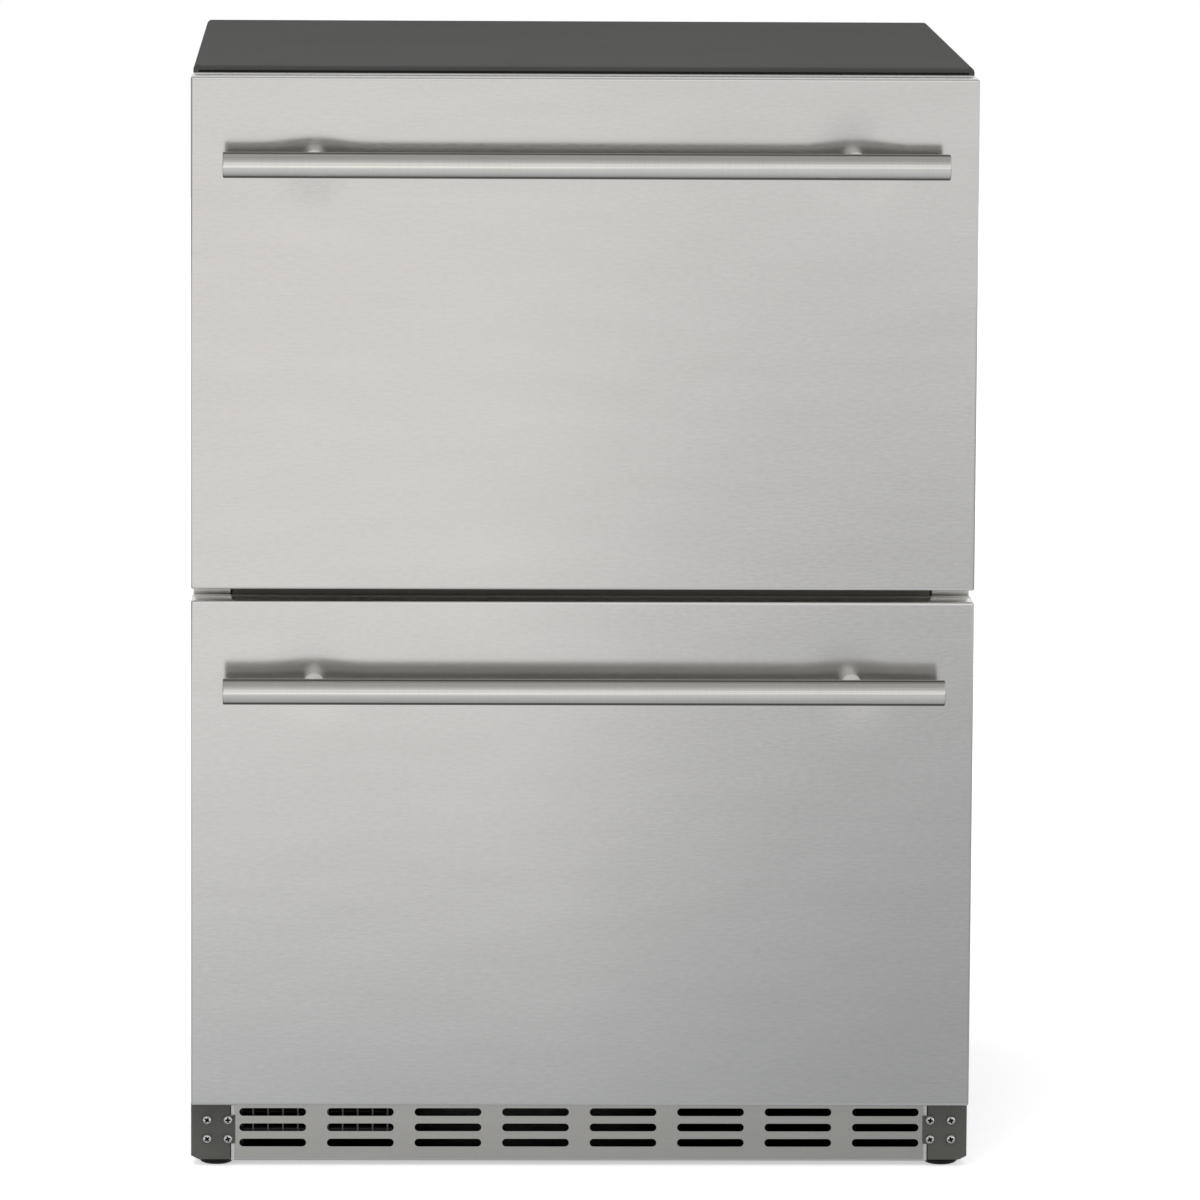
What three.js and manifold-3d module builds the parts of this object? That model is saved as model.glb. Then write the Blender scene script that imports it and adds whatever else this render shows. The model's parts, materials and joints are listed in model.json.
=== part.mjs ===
// Undercounter refrigerator with two drawers, in millimetres.
// X runs to the right, Y to the back and Z up. The origin is on the floor, under the middle of the object.
import * as THREE from 'three';
import { mergeVertices } from 'three/addons/utils/BufferGeometryUtils.js';
import Module from 'manifold-3d';

const wasm = await Module();
wasm.setup();

// Driving dimensions: the cabinet shell
const overallHeight = 860;
const cabinetWidth = 604;
const cabinetDepth = 565;
const wrapperSheet = 1.2;
const wrapperBend = 4;
const topLip = 5.7;
const groundGap = 5.5;
const kickSpace = 53;
const sideWall = 29;
const topWall = 32;
const backWall = 36.5;
const linerSheet = 2;
const frameSheet = 1.2;
const bottomRail = 35;
const floorInsulation = 24;
const humpDepth = 276.5;
const humpHeight = 285;
const humpInsulation = 28;
const mullionHeight = 60;
const mullionDepth = 45;
const mullionGap = 0.8;

// Driving dimensions: doors, gaskets and handles
const doorOverhang = 1;
const doorGap = 9;
const topReveal = 6;
const doorThickness = 42;
const skinSheet = 1;
const skinReturn = 28;
const gasketThickness = 6;
const gasketWidth = 16;
const gasketInset = 8;
const barRadius = 10;
const barEndInset = 25.5;
const barStandOff = 50;
const barDrop = 64;
const postRadius = 7;
const postInset = 69.5;

// Driving dimensions: bins and runners
const binSheet = 1.5;
const binFloorGap = 5;
const upperBinDepth = 440;
const lowerBinDepth = 280;
const binHeight = 230;
const runnerSheet = 1.2;
const runnerHeight = 45;
const runnerReach = 9.5;
const runnerWebStep = 1.5;
const runnerLift = 60;
const runnerSetback = 8;
const upperRunnerLength = 430;
const lowerRunnerLength = 264;

// Driving dimensions: base, grille, brackets and legs
const panHeight = 7;
const panSheet = 1.2;
const panFlangeDrop = 3;
const grilleSetback = 25;
const grilleDoorGap = 3;
const grilleSheet = 1.2;
const grilleTopReturn = 18;
const grilleBottomReturn = 6;
const slotLength = 52.2;
const slotHeight = 6.2;
const slotSideMargin = 6.55;
const slotTopMargin = 7.35;
const slotBottomMargin = 12.85;
const slotColumns = 8;
const slotRows = 3;
const bracketWidth = 30.5;
const bracketSheet = 2;
const bracketOverhang = 1.5;
const bracketChamfer = 8;
const bracketEar = 4;
const bracketEarHeight = 22;
const bracketEarLift = 12.5;
const tabSheet = 2;
const screwHeadRadius = 3.75;
const screwHeadHeight = 2.2;
const screwShankRadius = 1.8;
const screwLength = 9;
const screwSpacingX = 16.3;
const screwSpacingZ = 15;
const screwEdge = 12.5;
const screwLift = 16.4;
const legInset = 18;
const legFrontSetback = 17.5;
const legRearSetback = 40;
const padRadius = 14;
const stemRadius = 5;
const stemHeadroom = 5.3;
const padEdge = 1;
const padTaper = 4;
const bossRadius = 9;
const bossHeight = 32;

// Driving dimensions: machine compartment
const coverRecess = 12;
const coverSheet = 1;
const ventLength = 150;
const ventHeight = 5;
const ventPitch = 16;
const ventRows = 7;
const compressorInset = 182;
const compressorY = 215;
const compressorRadius = 78;
const compressorHeight = 176;
const footPlateSheet = 3;
const seamBand = 8;
const terminalBox = 44;
const terminalDepth = 26;
const portReach = 6;
const grommetRadius = 10;
const grommetHeight = 9;
const condenserWireCount = 12;
const condenserWirePitch = 11.7;
const condenserWireSize = 1.8;
const condenserTubeRadius = 3;
const condenserLayers = 2;
const condenserLayerPitch = 26;
const condenserInset = 8;
const condenserSetback = 10;
const condenserLift = 14;
const condenserHeadroom = 1;
const condenserPlateSheet = 2;
const condenserPlateMargin = 3;
const condenserFanInset = 152;
const condenserFanZ = 120;
const condenserFanRadius = 72;
const condenserFanY = 150;
const condenserFanWidth = 22;
const motorRadius = 30;
const motorLength = 44;
const motorShaftRadius = 3;
const standSheet = 3;
const standFoot = 25;
const condenserHubRadius = 18;
const fanBladeCount = 5;
const motorGap = 3;
const trayWidth = 230;
const trayDepth = 76;
const trayHeight = 30;
const trayBackGap = 14;
const traySheet = 2;
const glandInset = 72;
const glandZ = 45;
const glandRadius = 8;
const glandFlange = 13;
const glandFlangeSheet = 3;
const glandNeck = 9;
const glandBore = 4;

// Driving dimensions: cooling and controls inside the upper compartment
const coolerCoverWidth = 340;
const coolerCoverHeight = 300;
const coolerCoverDepth = 50;
const coolerCoverSheet = 2;
const coolerCoverDrop = 28;
const coolerFanRadius = 40;
const coolerFanWidth = 11;
const coolerFanDrop = 65;
const coolerHubRadius = 12;
const coolerOpeningMargin = 3;
const coolerSlotLift = 10;
const coolerSlotHeight = 7;
const coolerMotorRadius = 18;
const coolerMotorLength = 26;
const coolerShaftRadius = 2.5;
const finCount = 8;
const finSheet = 1;
const coilWidth = 260;
const coilHeight = 140;
const coilDepth = 28;
const coilTubeRadius = 4;
const coilTubes = 3;
const coilBendReach = 8;
const coilLift = 20;
const lineRadius = 4;
const lineX = 10;
const housingWidth = 220;
const housingDepth = 90;
const housingHeight = 22;
const housingSheet = 2;
const housingSetback = 22;
const lensWidth = 120;
const lensDepth = 28;
const lensEdge = 16;
const buttonEdge = 22;
const captiveLip = 3;
const buttonWidth = 14;
const buttonDepth = 10;
const buttonPitch = 24;
const buttonTravel = 1;

// Clearances
const seat = 0.3;
const running = 0.3;

// Planes and levels that several pieces share
const overallDepth = cabinetDepth + gasketThickness + doorThickness + barStandOff + barRadius;
const backY = overallDepth / 2;
const faceY = backY - cabinetDepth;
const doorBackY = faceY - gasketThickness;
const doorFrontY = doorBackY - doorThickness;
const barY = doorFrontY - barStandOff;
const halfWidth = cabinetWidth / 2;
const innerHalf = halfWidth - sideWall;
const doorHalf = halfWidth + doorOverhang;
const doorHeight = (overallHeight - topReveal - doorGap - kickSpace) / 2;
const barHalf = doorHalf - barEndInset;
const linerFloorHeight = kickSpace + bottomRail;
const ceilingZ = overallHeight - topWall;
const linerBackY = backY - backWall;
const humpFaceY = backY - humpDepth;
const upperDoorTop = overallHeight - topReveal;
const upperDoorBottom = upperDoorTop - doorHeight;
const lowerDoorTop = upperDoorBottom - doorGap;
const lowerDoorBottom = lowerDoorTop - doorHeight;
const mullionZ = (upperDoorBottom + lowerDoorTop) / 2;
const mullionTop = mullionZ + mullionHeight / 2;
const mullionBottom = mullionZ - mullionHeight / 2;
const deckZ = linerFloorHeight - linerSheet - floorInsulation;
const roomFrontY = humpFaceY + linerSheet + humpInsulation;
const roomTopZ = humpHeight - linerSheet - humpInsulation;
const foamFrontY = faceY + frameSheet + wrapperSheet + 2 * seat;
const shellInset = wrapperSheet + seat;
const grilleTopZ = kickSpace - grilleDoorGap;
const bracketFrontY = doorFrontY + grilleSetback;
const grilleFrontY = bracketFrontY + bracketSheet + seat;
const tabFrontY = grilleFrontY + grilleSheet + seat;
const bracketOuterX = halfWidth + bracketOverhang;
const bracketInnerX = bracketOuterX - bracketWidth;
const panTopZ = panHeight + panSheet;
const floorSeatZ = panTopZ + seat;
const panFlangeZ = grilleTopZ - panFlangeDrop;
const legX = halfWidth - legInset;
const glandX = halfWidth - glandInset;
const compressorX = halfWidth - compressorInset;
const condenserFanX = condenserFanInset - halfWidth;
const coverY = backY - coverRecess;
const binHalf = innerHalf - seat - runnerReach - runnerSheet - 2 * seat;

const paint = (color, roughness, metalness) => new THREE.MeshStandardMaterial({ color, roughness, metalness });
const materials = {
  shellPaint: paint('#5b5b5b', 0.45, 0.3),
  stainless: paint('#cdccc8', 0.32, 1),
  frameSteel: paint('#c2c1bd', 0.35, 1),
  grilleSteel: paint('#93928e', 0.42, 0.9),
  bracketPaint: paint('#55504f', 0.5, 0.4),
  screwSteel: paint('#a6a3a0', 0.3, 1),
  doorPlastic: paint('#d9d9d6', 0.5, 0),
  gasketRubber: paint('#3c3b3a', 0.7, 0),
  mullionPlastic: paint('#3f3c37', 0.55, 0),
  linerPlastic: paint('#e9e9e6', 0.4, 0),
  foam: paint('#d8c98f', 0.9, 0),
  zincSheet: paint('#a9adb0', 0.4, 0.9),
  binSteel: paint('#c8c9c9', 0.35, 1),
  runnerZinc: paint('#b9bcbe', 0.35, 1),
  blackEnamel: paint('#161616', 0.4, 0.2),
  copper: paint('#b87346', 0.35, 1),
  aluminium: paint('#c9ccce', 0.4, 1),
  blackPlastic: paint('#1c1c1c', 0.5, 0),
  greyPlastic: paint('#4a4c4e', 0.5, 0),
  lens: paint('#f2f4f2', 0.25, 0),
  buttonPlastic: paint('#2b2c2e', 0.4, 0),
};

const object = new THREE.Group();
object.name = 'undercounter_drawer_refrigerator';

// A closed geometry as a solid that can be joined and cut.
function solidOf(geometry) {
  const bare = geometry.index ? geometry.toNonIndexed() : geometry.clone();
  bare.deleteAttribute('normal');
  bare.deleteAttribute('uv');
  const merged = mergeVertices(bare, 1e-4);
  const mesh = new wasm.Mesh({
    numProp: 3,
    vertProperties: new Float32Array(merged.attributes.position.array),
    triVerts: new Uint32Array(merged.index.array),
  });
  return new wasm.Manifold(mesh);
}

// One named piece of the object.
function addPiece(name, solid, material) {
  const data = solid.getMesh();
  const geometry = new THREE.BufferGeometry();
  geometry.setAttribute('position', new THREE.BufferAttribute(new Float32Array(data.vertProperties), 3));
  geometry.setIndex(new THREE.BufferAttribute(new Uint32Array(data.triVerts), 1));
  geometry.computeVertexNormals();
  const piece = new THREE.Mesh(geometry, material);
  piece.name = name;
  object.add(piece);
}

const joined = (solids) => solids.reduce((whole, part) => whole.add(part));
const cutBy = (solid, cutters) => cutters.reduce((rest, cutter) => rest.subtract(cutter), solid);

function block([x0, x1], [y0, y1], [z0, z1]) {
  const geometry = new THREE.BoxGeometry(x1 - x0, y1 - y0, z1 - z0);
  geometry.translate((x0 + x1) / 2, (y0 + y1) / 2, (z0 + z1) / 2);
  return solidOf(geometry);
}

// A round bar between two points.
function bar(from, to, radius, sides = 16) {
  const start = new THREE.Vector3(...from);
  const run = new THREE.Vector3(...to).sub(start);
  const geometry = new THREE.CylinderGeometry(radius, radius, run.length(), sides);
  geometry.rotateY(Math.PI / sides);
  const turn = new THREE.Quaternion().setFromUnitVectors(new THREE.Vector3(0, 1, 0), run.clone().normalize());
  geometry.applyQuaternion(turn);
  const middle = start.addScaledVector(run, 0.5);
  geometry.translate(middle.x, middle.y, middle.z);
  return solidOf(geometry);
}

// A tube that follows a row of points, with a ball at each corner.
function tubeAlong(points, radius, sides = 10) {
  const pieces = [];
  for (let i = 1; i < points.length; i += 1) {
    pieces.push(bar(points[i - 1], points[i], radius, sides));
    if (i < points.length - 1) {
      const ball = new THREE.SphereGeometry(radius, sides, Math.max(4, Math.floor(sides / 2)));
      ball.translate(...points[i]);
      pieces.push(solidOf(ball));
    }
  }
  return joined(pieces);
}

// A flat outline in X and Z, given thickness along Y from one plane to another.
function slabY(shape, y0, y1) {
  const geometry = new THREE.ExtrudeGeometry(shape, { depth: y1 - y0, bevelEnabled: false, curveSegments: 3 });
  geometry.rotateX(Math.PI / 2);
  geometry.translate(0, y1, 0);
  return solidOf(geometry);
}

function outline(points) {
  const shape = new THREE.Shape();
  shape.moveTo(...points[0]);
  points.slice(1).forEach((point) => shape.lineTo(...point));
  shape.closePath();
  return shape;
}

// The cabinet's outline from the front, drawn in by an inset, with bent top corners.
function shellOutline(inset, bottom) {
  const half = halfWidth - inset;
  const top = overallHeight - inset;
  const bend = Math.max(wrapperBend - inset, 0.5);
  const shape = new THREE.Shape();
  shape.moveTo(-half, bottom);
  shape.lineTo(half, bottom);
  shape.lineTo(half, top - bend);
  shape.absarc(half - bend, top - bend, bend, 0, Math.PI / 2, false);
  shape.lineTo(-half + bend, top);
  shape.absarc(-half + bend, top - bend, bend, Math.PI / 2, Math.PI, false);
  shape.closePath();
  return shape;
}

// A slot with round ends, cut through along Y.
function slotCutter(x, z, length, height, y0, y1) {
  const radius = height / 2;
  const reach = length / 2 - radius;
  const shape = new THREE.Shape();
  shape.moveTo(x - reach, z - radius);
  shape.lineTo(x + reach, z - radius);
  shape.absarc(x + reach, z, radius, -Math.PI / 2, Math.PI / 2, false);
  shape.lineTo(x - reach, z + radius);
  shape.absarc(x - reach, z, radius, Math.PI / 2, 1.5 * Math.PI, false);
  return slabY(shape, y0, y1);
}

// Sheet steel over the top and both sides, with the top folded down over the frame's upper edge.
function addWrapper() {
  const behindFrame = faceY + frameSheet + seat;
  const outer = slabY(shellOutline(0, groundGap), behindFrame, backY);
  const room = slabY(shellOutline(wrapperSheet, groundGap - 1), behindFrame - 1, backY + 1);
  const brow = slabY(shellOutline(0, overallHeight - topLip), faceY, behindFrame + wrapperSheet);
  addPiece('cabinet_wrapper', outer.subtract(room).add(brow), materials.shellPaint);
}

// The liner's inside: one box over the full depth above the hump and one in front of it.
function linerSpace(grow, frontY) {
  const half = innerHalf + grow;
  const top = ceilingZ + grow;
  const above = block([-half, half], [frontY, linerBackY + grow], [humpHeight - grow, top]);
  const before = block([-half, half], [frontY, humpFaceY + grow], [linerFloorHeight - grow, top]);
  return above.add(before);
}

// Points of the insulated line from the compressor to the cooling coil.
function linePath() {
  const portZ = floorSeatZ + compressorHeight * 0.7;
  const riserY = linerBackY + linerSheet + (backWall - linerSheet) / 2;
  const coilTopZ = coolerBottomZ() + coilHeight;
  const turnZ = coilTopZ + 3 * lineRadius;
  const coilMiddleY = linerBackY - seat - coilDepth / 2;
  return [
    [compressorX - compressorRadius - portReach, compressorY, portZ],
    [lineX, compressorY, portZ],
    [lineX, riserY, portZ],
    [lineX, riserY, turnZ],
    [lineX, coilMiddleY, turnZ],
    [lineX, coilMiddleY, coilTopZ + seat],
  ];
}

function addInsulationAndLiner() {
  const lineHole = tubeAlong(linePath(), lineRadius + seat);
  const body = slabY(shellOutline(shellInset, deckZ), foamFrontY, backY - shellInset);
  const beyond = 10;
  const machineRoom = block([-halfWidth, halfWidth], [roomFrontY, backY], [deckZ - beyond, roomTopZ]);
  const lined = linerSpace(linerSheet + seat, faceY - beyond);
  addPiece('cabinet_foam', cutBy(body, [lined, machineRoom, lineHole]), materials.foam);

  const outside = linerSpace(linerSheet, foamFrontY);
  const inside = linerSpace(0, faceY - beyond);
  addPiece('inner_liner', cutBy(outside, [inside, lineHole]), materials.linerPlastic);
}

// Stainless plate round the opening, and the dark beam that divides it.
function addFrontFrame() {
  const top = overallHeight - topLip - seat;
  const bottom = grilleTopZ + seat;
  const plate = block([-halfWidth, halfWidth], [faceY, faceY + frameSheet], [bottom, top]);
  const window = block([-innerHalf, innerHalf], [faceY - 1, faceY + frameSheet + 1], [linerFloorHeight, ceilingZ]);
  addPiece('front_frame', plate.subtract(window), materials.frameSteel);

  const reach = innerHalf - mullionGap;
  const beam = block([-reach, reach], [faceY, faceY + mullionDepth], [mullionBottom, mullionTop]);
  addPiece('center_mullion', beam, materials.mullionPlastic);
}

// Back sheet above the machine compartment and the vented cover over it.
function addRear() {
  const panel = slabY(shellOutline(shellInset, roomTopZ), backY - wrapperSheet, backY);
  addPiece('rear_panel', panel, materials.zincSheet);

  const half = halfWidth - shellInset;
  const cover = block([-half, half], [coverY - coverSheet, coverY], [floorSeatZ, roomTopZ - seat]);
  const cutters = [bar([glandX, coverY - 5, glandZ], [glandX, coverY + 5, glandZ], glandRadius + seat)];
  const firstVentZ = roomTopZ - (roomTopZ - floorSeatZ) / 2 - ((ventRows - 1) * ventPitch) / 2;
  for (let row = 0; row < ventRows; row += 1) {
    const z = firstVentZ + row * ventPitch;
    for (const side of [-1, 1]) {
      cutters.push(slotCutter(side * ventLength * 0.6, z, ventLength, ventHeight, coverY - 5, coverY + 5));
    }
  }
  addPiece('machine_room_cover', cutBy(cover, cutters), materials.zincSheet);

  const flangeY = coverY + seat;
  const flange = bar([glandX, flangeY, glandZ], [glandX, flangeY + glandFlangeSheet, glandZ], glandFlange);
  const neck = bar([glandX, coverY - glandNeck, glandZ], [glandX, coverY + glandNeck, glandZ], glandRadius);
  const bore = bar([glandX, coverY - 2 * glandNeck, glandZ], [glandX, coverY + 2 * glandNeck, glandZ], glandBore);
  addPiece('mains_gland', flange.add(neck).subtract(bore), materials.blackPlastic);
}

const legPlaces = [
  ['front_left', -legX, bracketFrontY + legFrontSetback],
  ['front_right', legX, bracketFrontY + legFrontSetback],
  ['rear_left', -legX, backY - legRearSetback],
  ['rear_right', legX, backY - legRearSetback],
];

const screwPlaces = [];
for (const side of [-1, 1]) {
  for (const column of [0, 1]) {
    for (const row of [0, 1]) {
      screwPlaces.push({
        side,
        x: side * (bracketOuterX - screwEdge - column * screwSpacingX),
        z: groundGap + screwLift + row * screwSpacingZ,
      });
    }
  }
}

// Floor tray of the machine compartment, with leg sockets and two tabs that the brackets screw to.
function addBasePan() {
  const half = halfWidth - shellInset;
  const floor = block([-half, half], [tabFrontY, backY - wrapperSheet], [panHeight, panTopZ]);
  const parts = [floor];
  for (const side of [-1, 1]) {
    const edge = [side * half, side * (half - panSheet)].sort((a, b) => a - b);
    parts.push(block(edge, [tabFrontY, coverY - coverSheet - seat], [panHeight, panFlangeZ]));
    const tab = [side * half, side * (bracketInnerX - bracketEar)].sort((a, b) => a - b);
    parts.push(block(tab, [tabFrontY, tabFrontY + tabSheet], [panHeight, panFlangeZ]));
  }
  for (const [, x, y] of legPlaces) {
    parts.push(bar([x, y, panHeight], [x, y, panHeight + bossHeight], bossRadius, 12));
  }
  const cutters = [];
  for (const [, x, y] of legPlaces) {
    cutters.push(bar([x, y, panHeight - 1], [x, y, panHeight + bossHeight + 1], stemRadius + running, 12));
  }
  for (const { x, z } of screwPlaces) {
    cutters.push(bar([x, tabFrontY - 1, z], [x, tabFrontY + tabSheet + 1, z], screwShankRadius + seat, 12));
  }
  addPiece('base_pan', cutBy(joined(parts), cutters), materials.zincSheet);
}

function addLegs() {
  for (const [place, x, y] of legPlaces) {
    const padTop = panHeight - seat;
    const stemTop = kickSpace - stemHeadroom;
    const profile = [
      new THREE.Vector2(0, 0),
      new THREE.Vector2(padRadius - padTaper, 0),
      new THREE.Vector2(padRadius, padTop - padEdge),
      new THREE.Vector2(padRadius - padEdge, padTop),
      new THREE.Vector2(stemRadius, padTop),
      new THREE.Vector2(stemRadius, stemTop),
      new THREE.Vector2(0, stemTop),
    ];
    const leg = new THREE.LatheGeometry(profile, 16);
    leg.rotateX(Math.PI / 2);
    leg.translate(x, y, 0);
    addPiece(`leveling_leg_${place}`, solidOf(leg), materials.blackPlastic);
  }
}

function addGrille() {
  const half = bracketInnerX - 2 * seat;
  const plateBack = grilleFrontY + grilleSheet;
  const plate = block([-half, half], [grilleFrontY, plateBack], [groundGap, grilleTopZ]);
  const topFold = block([-half, half], [grilleFrontY, grilleFrontY + grilleTopReturn], [grilleTopZ - grilleSheet, grilleTopZ]);
  const bottomFold = block(
    [-half, half],
    [grilleFrontY, grilleFrontY + grilleBottomReturn],
    [groundGap, groundGap + grilleSheet],
  );
  const pitchX = (2 * (half - slotSideMargin) - slotLength) / (slotColumns - 1);
  const lowRowZ = groundGap + slotBottomMargin;
  const pitchZ = (grilleTopZ - slotTopMargin - lowRowZ) / (slotRows - 1);
  const cutters = [];
  for (let column = 0; column < slotColumns; column += 1) {
    for (let row = 0; row < slotRows; row += 1) {
      const x = (column - (slotColumns - 1) / 2) * pitchX;
      const z = lowRowZ + row * pitchZ;
      cutters.push(slotCutter(x, z, slotLength, slotHeight, grilleFrontY - 1, plateBack + 1));
    }
  }
  addPiece('kick_grille', cutBy(joined([plate, topFold, bottomFold]), cutters), materials.grilleSteel);
}

// Corner bracket: a front plate with a chamfered foot, an ear over the grille's end and a folded side.
function addBrackets() {
  const places = { left: -1, right: 1 };
  for (const [place, side] of Object.entries(places)) {
    const earBottom = groundGap + bracketEarLift;
    const points = [
      [bracketInnerX, groundGap],
      [bracketOuterX - bracketChamfer, groundGap],
      [bracketOuterX, groundGap + bracketChamfer],
      [bracketOuterX, grilleTopZ],
      [bracketInnerX, grilleTopZ],
      [bracketInnerX, earBottom + bracketEarHeight],
      [bracketInnerX - bracketEar, earBottom + bracketEarHeight],
      [bracketInnerX - bracketEar, earBottom],
      [bracketInnerX, earBottom],
    ];
    const turned = points.map(([x, z]) => [side * x, z]);
    const plate = slabY(outline(side > 0 ? turned : turned.reverse()), bracketFrontY, bracketFrontY + bracketSheet);
    const wall = [side * (bracketOuterX - bracketSheet + 0.5), side * bracketOuterX].sort((a, b) => a - b);
    const fold = block(wall, [bracketFrontY, faceY - seat], [groundGap + bracketChamfer, grilleTopZ]);
    const cutters = screwPlaces
      .filter((screw) => screw.side === side)
      .map(({ x, z }) => bar([x, bracketFrontY - 1, z], [x, bracketFrontY + bracketSheet + 1, z],
        screwShankRadius + seat, 12));
    addPiece(`foot_bracket_${place}`, cutBy(plate.add(fold), cutters), materials.bracketPaint);
  }
}

function addBracketScrews() {
  const count = { '-1': 0, 1: 0 };
  for (const { side, x, z } of screwPlaces) {
    count[side] += 1;
    const headBack = bracketFrontY - seat;
    const profile = [
      new THREE.Vector2(0, 0),
      new THREE.Vector2(screwHeadRadius * 0.6, 0),
      new THREE.Vector2(screwHeadRadius, screwHeadHeight * 0.6),
      new THREE.Vector2(screwHeadRadius, screwHeadHeight),
      new THREE.Vector2(screwShankRadius, screwHeadHeight),
      new THREE.Vector2(screwShankRadius, screwHeadHeight + screwLength),
      new THREE.Vector2(0, screwHeadHeight + screwLength),
    ];
    const screw = new THREE.LatheGeometry(profile, 10);
    screw.translate(x, headBack - screwHeadHeight, z);
    addPiece(`bracket_screw_${side < 0 ? 'left' : 'right'}_${count[side]}`, solidOf(screw), materials.screwSteel);
  }
}

function addCompressor() {
  const base = floorSeatZ + grommetHeight;
  const top = floorSeatZ + compressorHeight;
  const height = top - base;
  const radius = compressorRadius;
  const seamLow = base + (height - seamBand) / 2;
  const seamHigh = seamLow + seamBand;
  const profile = [
    [0, base + footPlateSheet],
    [radius * 0.75, base + footPlateSheet],
    [radius * 0.95, base + height * 0.12],
    [radius * 0.95, seamLow],
    [radius, seamLow],
    [radius, seamHigh],
    [radius * 0.95, seamHigh],
    [radius * 0.93, base + height * 0.78],
    [radius * 0.75, base + height * 0.93],
    [radius * 0.4, base + height * 0.99],
    [0, top],
  ];
  const shell = new THREE.LatheGeometry(profile.map(([r, z]) => new THREE.Vector2(r, z)), 24);
  shell.rotateX(Math.PI / 2);
  shell.translate(compressorX, compressorY, 0);
  const plateX = radius * 1.15;
  const plateY = radius * 0.8;
  const plate = block(
    [compressorX - plateX, compressorX + plateX],
    [compressorY - plateY, compressorY + plateY],
    [base, base + footPlateSheet * 1.2],
  );
  const parts = [solidOf(shell), plate];
  for (const sx of [-1, 1]) {
    for (const sy of [-1, 1]) {
      const x = compressorX + sx * (plateX - grommetRadius * 1.2);
      const y = compressorY + sy * (plateY - grommetRadius * 1.2);
      parts.push(bar([x, y, floorSeatZ], [x, y, base + 1], grommetRadius, 12));
    }
  }
  const [portX, portY, portZ] = linePath()[0];
  parts.push(bar([compressorX - radius * 0.7, portY, portZ], [portX + seat, portY, portZ], lineRadius));
  parts.push(block(
    [compressorX + radius * 0.7, compressorX + radius + terminalDepth],
    [compressorY - terminalBox / 2, compressorY + terminalBox / 2],
    [seamHigh, seamHigh + terminalBox],
  ));
  addPiece('compressor', joined(parts), materials.blackEnamel);
}

// Wire-and-tube condenser behind the left end of the grille, standing on two end plates.
function addCondenser() {
  const wireBottom = panTopZ + condenserLift;
  const wireTop = grilleTopZ - grilleSheet - condenserHeadroom;
  const condenserLeft = -innerHalf + condenserInset;
  const right = condenserLeft + (condenserWireCount - 1) * condenserWirePitch;
  const frontY = tabFrontY + tabSheet + condenserSetback;
  const parts = [];
  const levels = [0.15, 0.5, 0.85].map((share) => wireBottom + share * (wireTop - wireBottom));
  for (let layer = 0; layer < condenserLayers; layer += 1) {
    const y = frontY + condenserTubeRadius + layer * condenserLayerPitch;
    const [low, middle, high] = levels;
    parts.push(tubeAlong([
      [condenserLeft, y, low], [right, y, low], [right, y, middle],
      [condenserLeft, y, middle], [condenserLeft, y, high], [right, y, high],
    ], condenserTubeRadius, 6));
    for (let wire = 0; layer === 0 && wire < condenserWireCount; wire += 1) {
      const x = condenserLeft + wire * condenserWirePitch;
      const half = condenserWireSize / 2;
      const wireY = y - condenserTubeRadius;
      parts.push(block([x - half, x + half], [wireY - half, wireY + half], [wireBottom, wireTop]));
    }
  }
  const backRow = frontY + condenserTubeRadius + (condenserLayers - 1) * condenserLayerPitch;
  const plateHalf = condenserPlateSheet / 2;
  const plateY = [frontY - condenserPlateMargin, backRow + condenserTubeRadius + condenserPlateMargin];
  for (const x of [condenserLeft, right]) {
    parts.push(block([x - plateHalf, x + plateHalf], plateY, [floorSeatZ, wireTop]));
  }
  addPiece('condenser_coil', joined(parts), materials.blackEnamel);
}

// An axial fan on a shaft along Y: a hub with pitched blades.
function fanBlade(x, y, z, radius, width, hubRadius, boreRadius) {
  const hub = bar([x, y, z], [x, y + width, z], hubRadius);
  const parts = [hub];
  const bladeSheet = 1.6;
  const pitch = Math.PI / 5;
  const chord = Math.min((width - 2 * bladeSheet) / Math.sin(pitch), radius);
  for (let i = 0; i < fanBladeCount; i += 1) {
    const blade = new THREE.BoxGeometry(radius - hubRadius * 0.5, bladeSheet, chord);
    blade.rotateX(pitch);
    blade.translate((radius + hubRadius * 0.5) / 2, 0, 0);
    blade.rotateY((i * 2 * Math.PI) / fanBladeCount);
    blade.translate(x, y + width / 2, z);
    parts.push(solidOf(blade));
  }
  const disc = bar([x, y, z], [x, y + width, z], radius, 32);
  const bore = bar([x, y - 1, z], [x, y + width + 1, z], boreRadius);
  return joined(parts).intersect(disc).subtract(bore);
}

function addCondenserFan() {
  const motorFront = condenserFanY + condenserFanWidth + motorGap;
  const motorBack = motorFront + motorLength;
  const x = condenserFanX;
  const z = condenserFanZ;
  const body = bar([x, motorFront, z], [x, motorBack, z], motorRadius, 24);
  const shaft = bar([x, condenserFanY - 2, z], [x, motorFront + 1, z], motorShaftRadius);
  const plateHalf = motorRadius * 0.8;
  const standBack = motorBack - motorLength * 0.1;
  const stand = block([x - plateHalf, x + plateHalf], [standBack - standSheet, standBack], [floorSeatZ, z]);
  const foot = block(
    [x - plateHalf, x + plateHalf],
    [standBack - standFoot, standBack],
    [floorSeatZ, floorSeatZ + standSheet],
  );
  addPiece('condenser_fan_motor', joined([body, shaft, stand, foot]), materials.zincSheet);
  const blade = fanBlade(x, condenserFanY, z, condenserFanRadius, condenserFanWidth,
    condenserHubRadius, motorShaftRadius + running);
  addPiece('condenser_fan_blade', blade, materials.blackPlastic);
}

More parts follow.
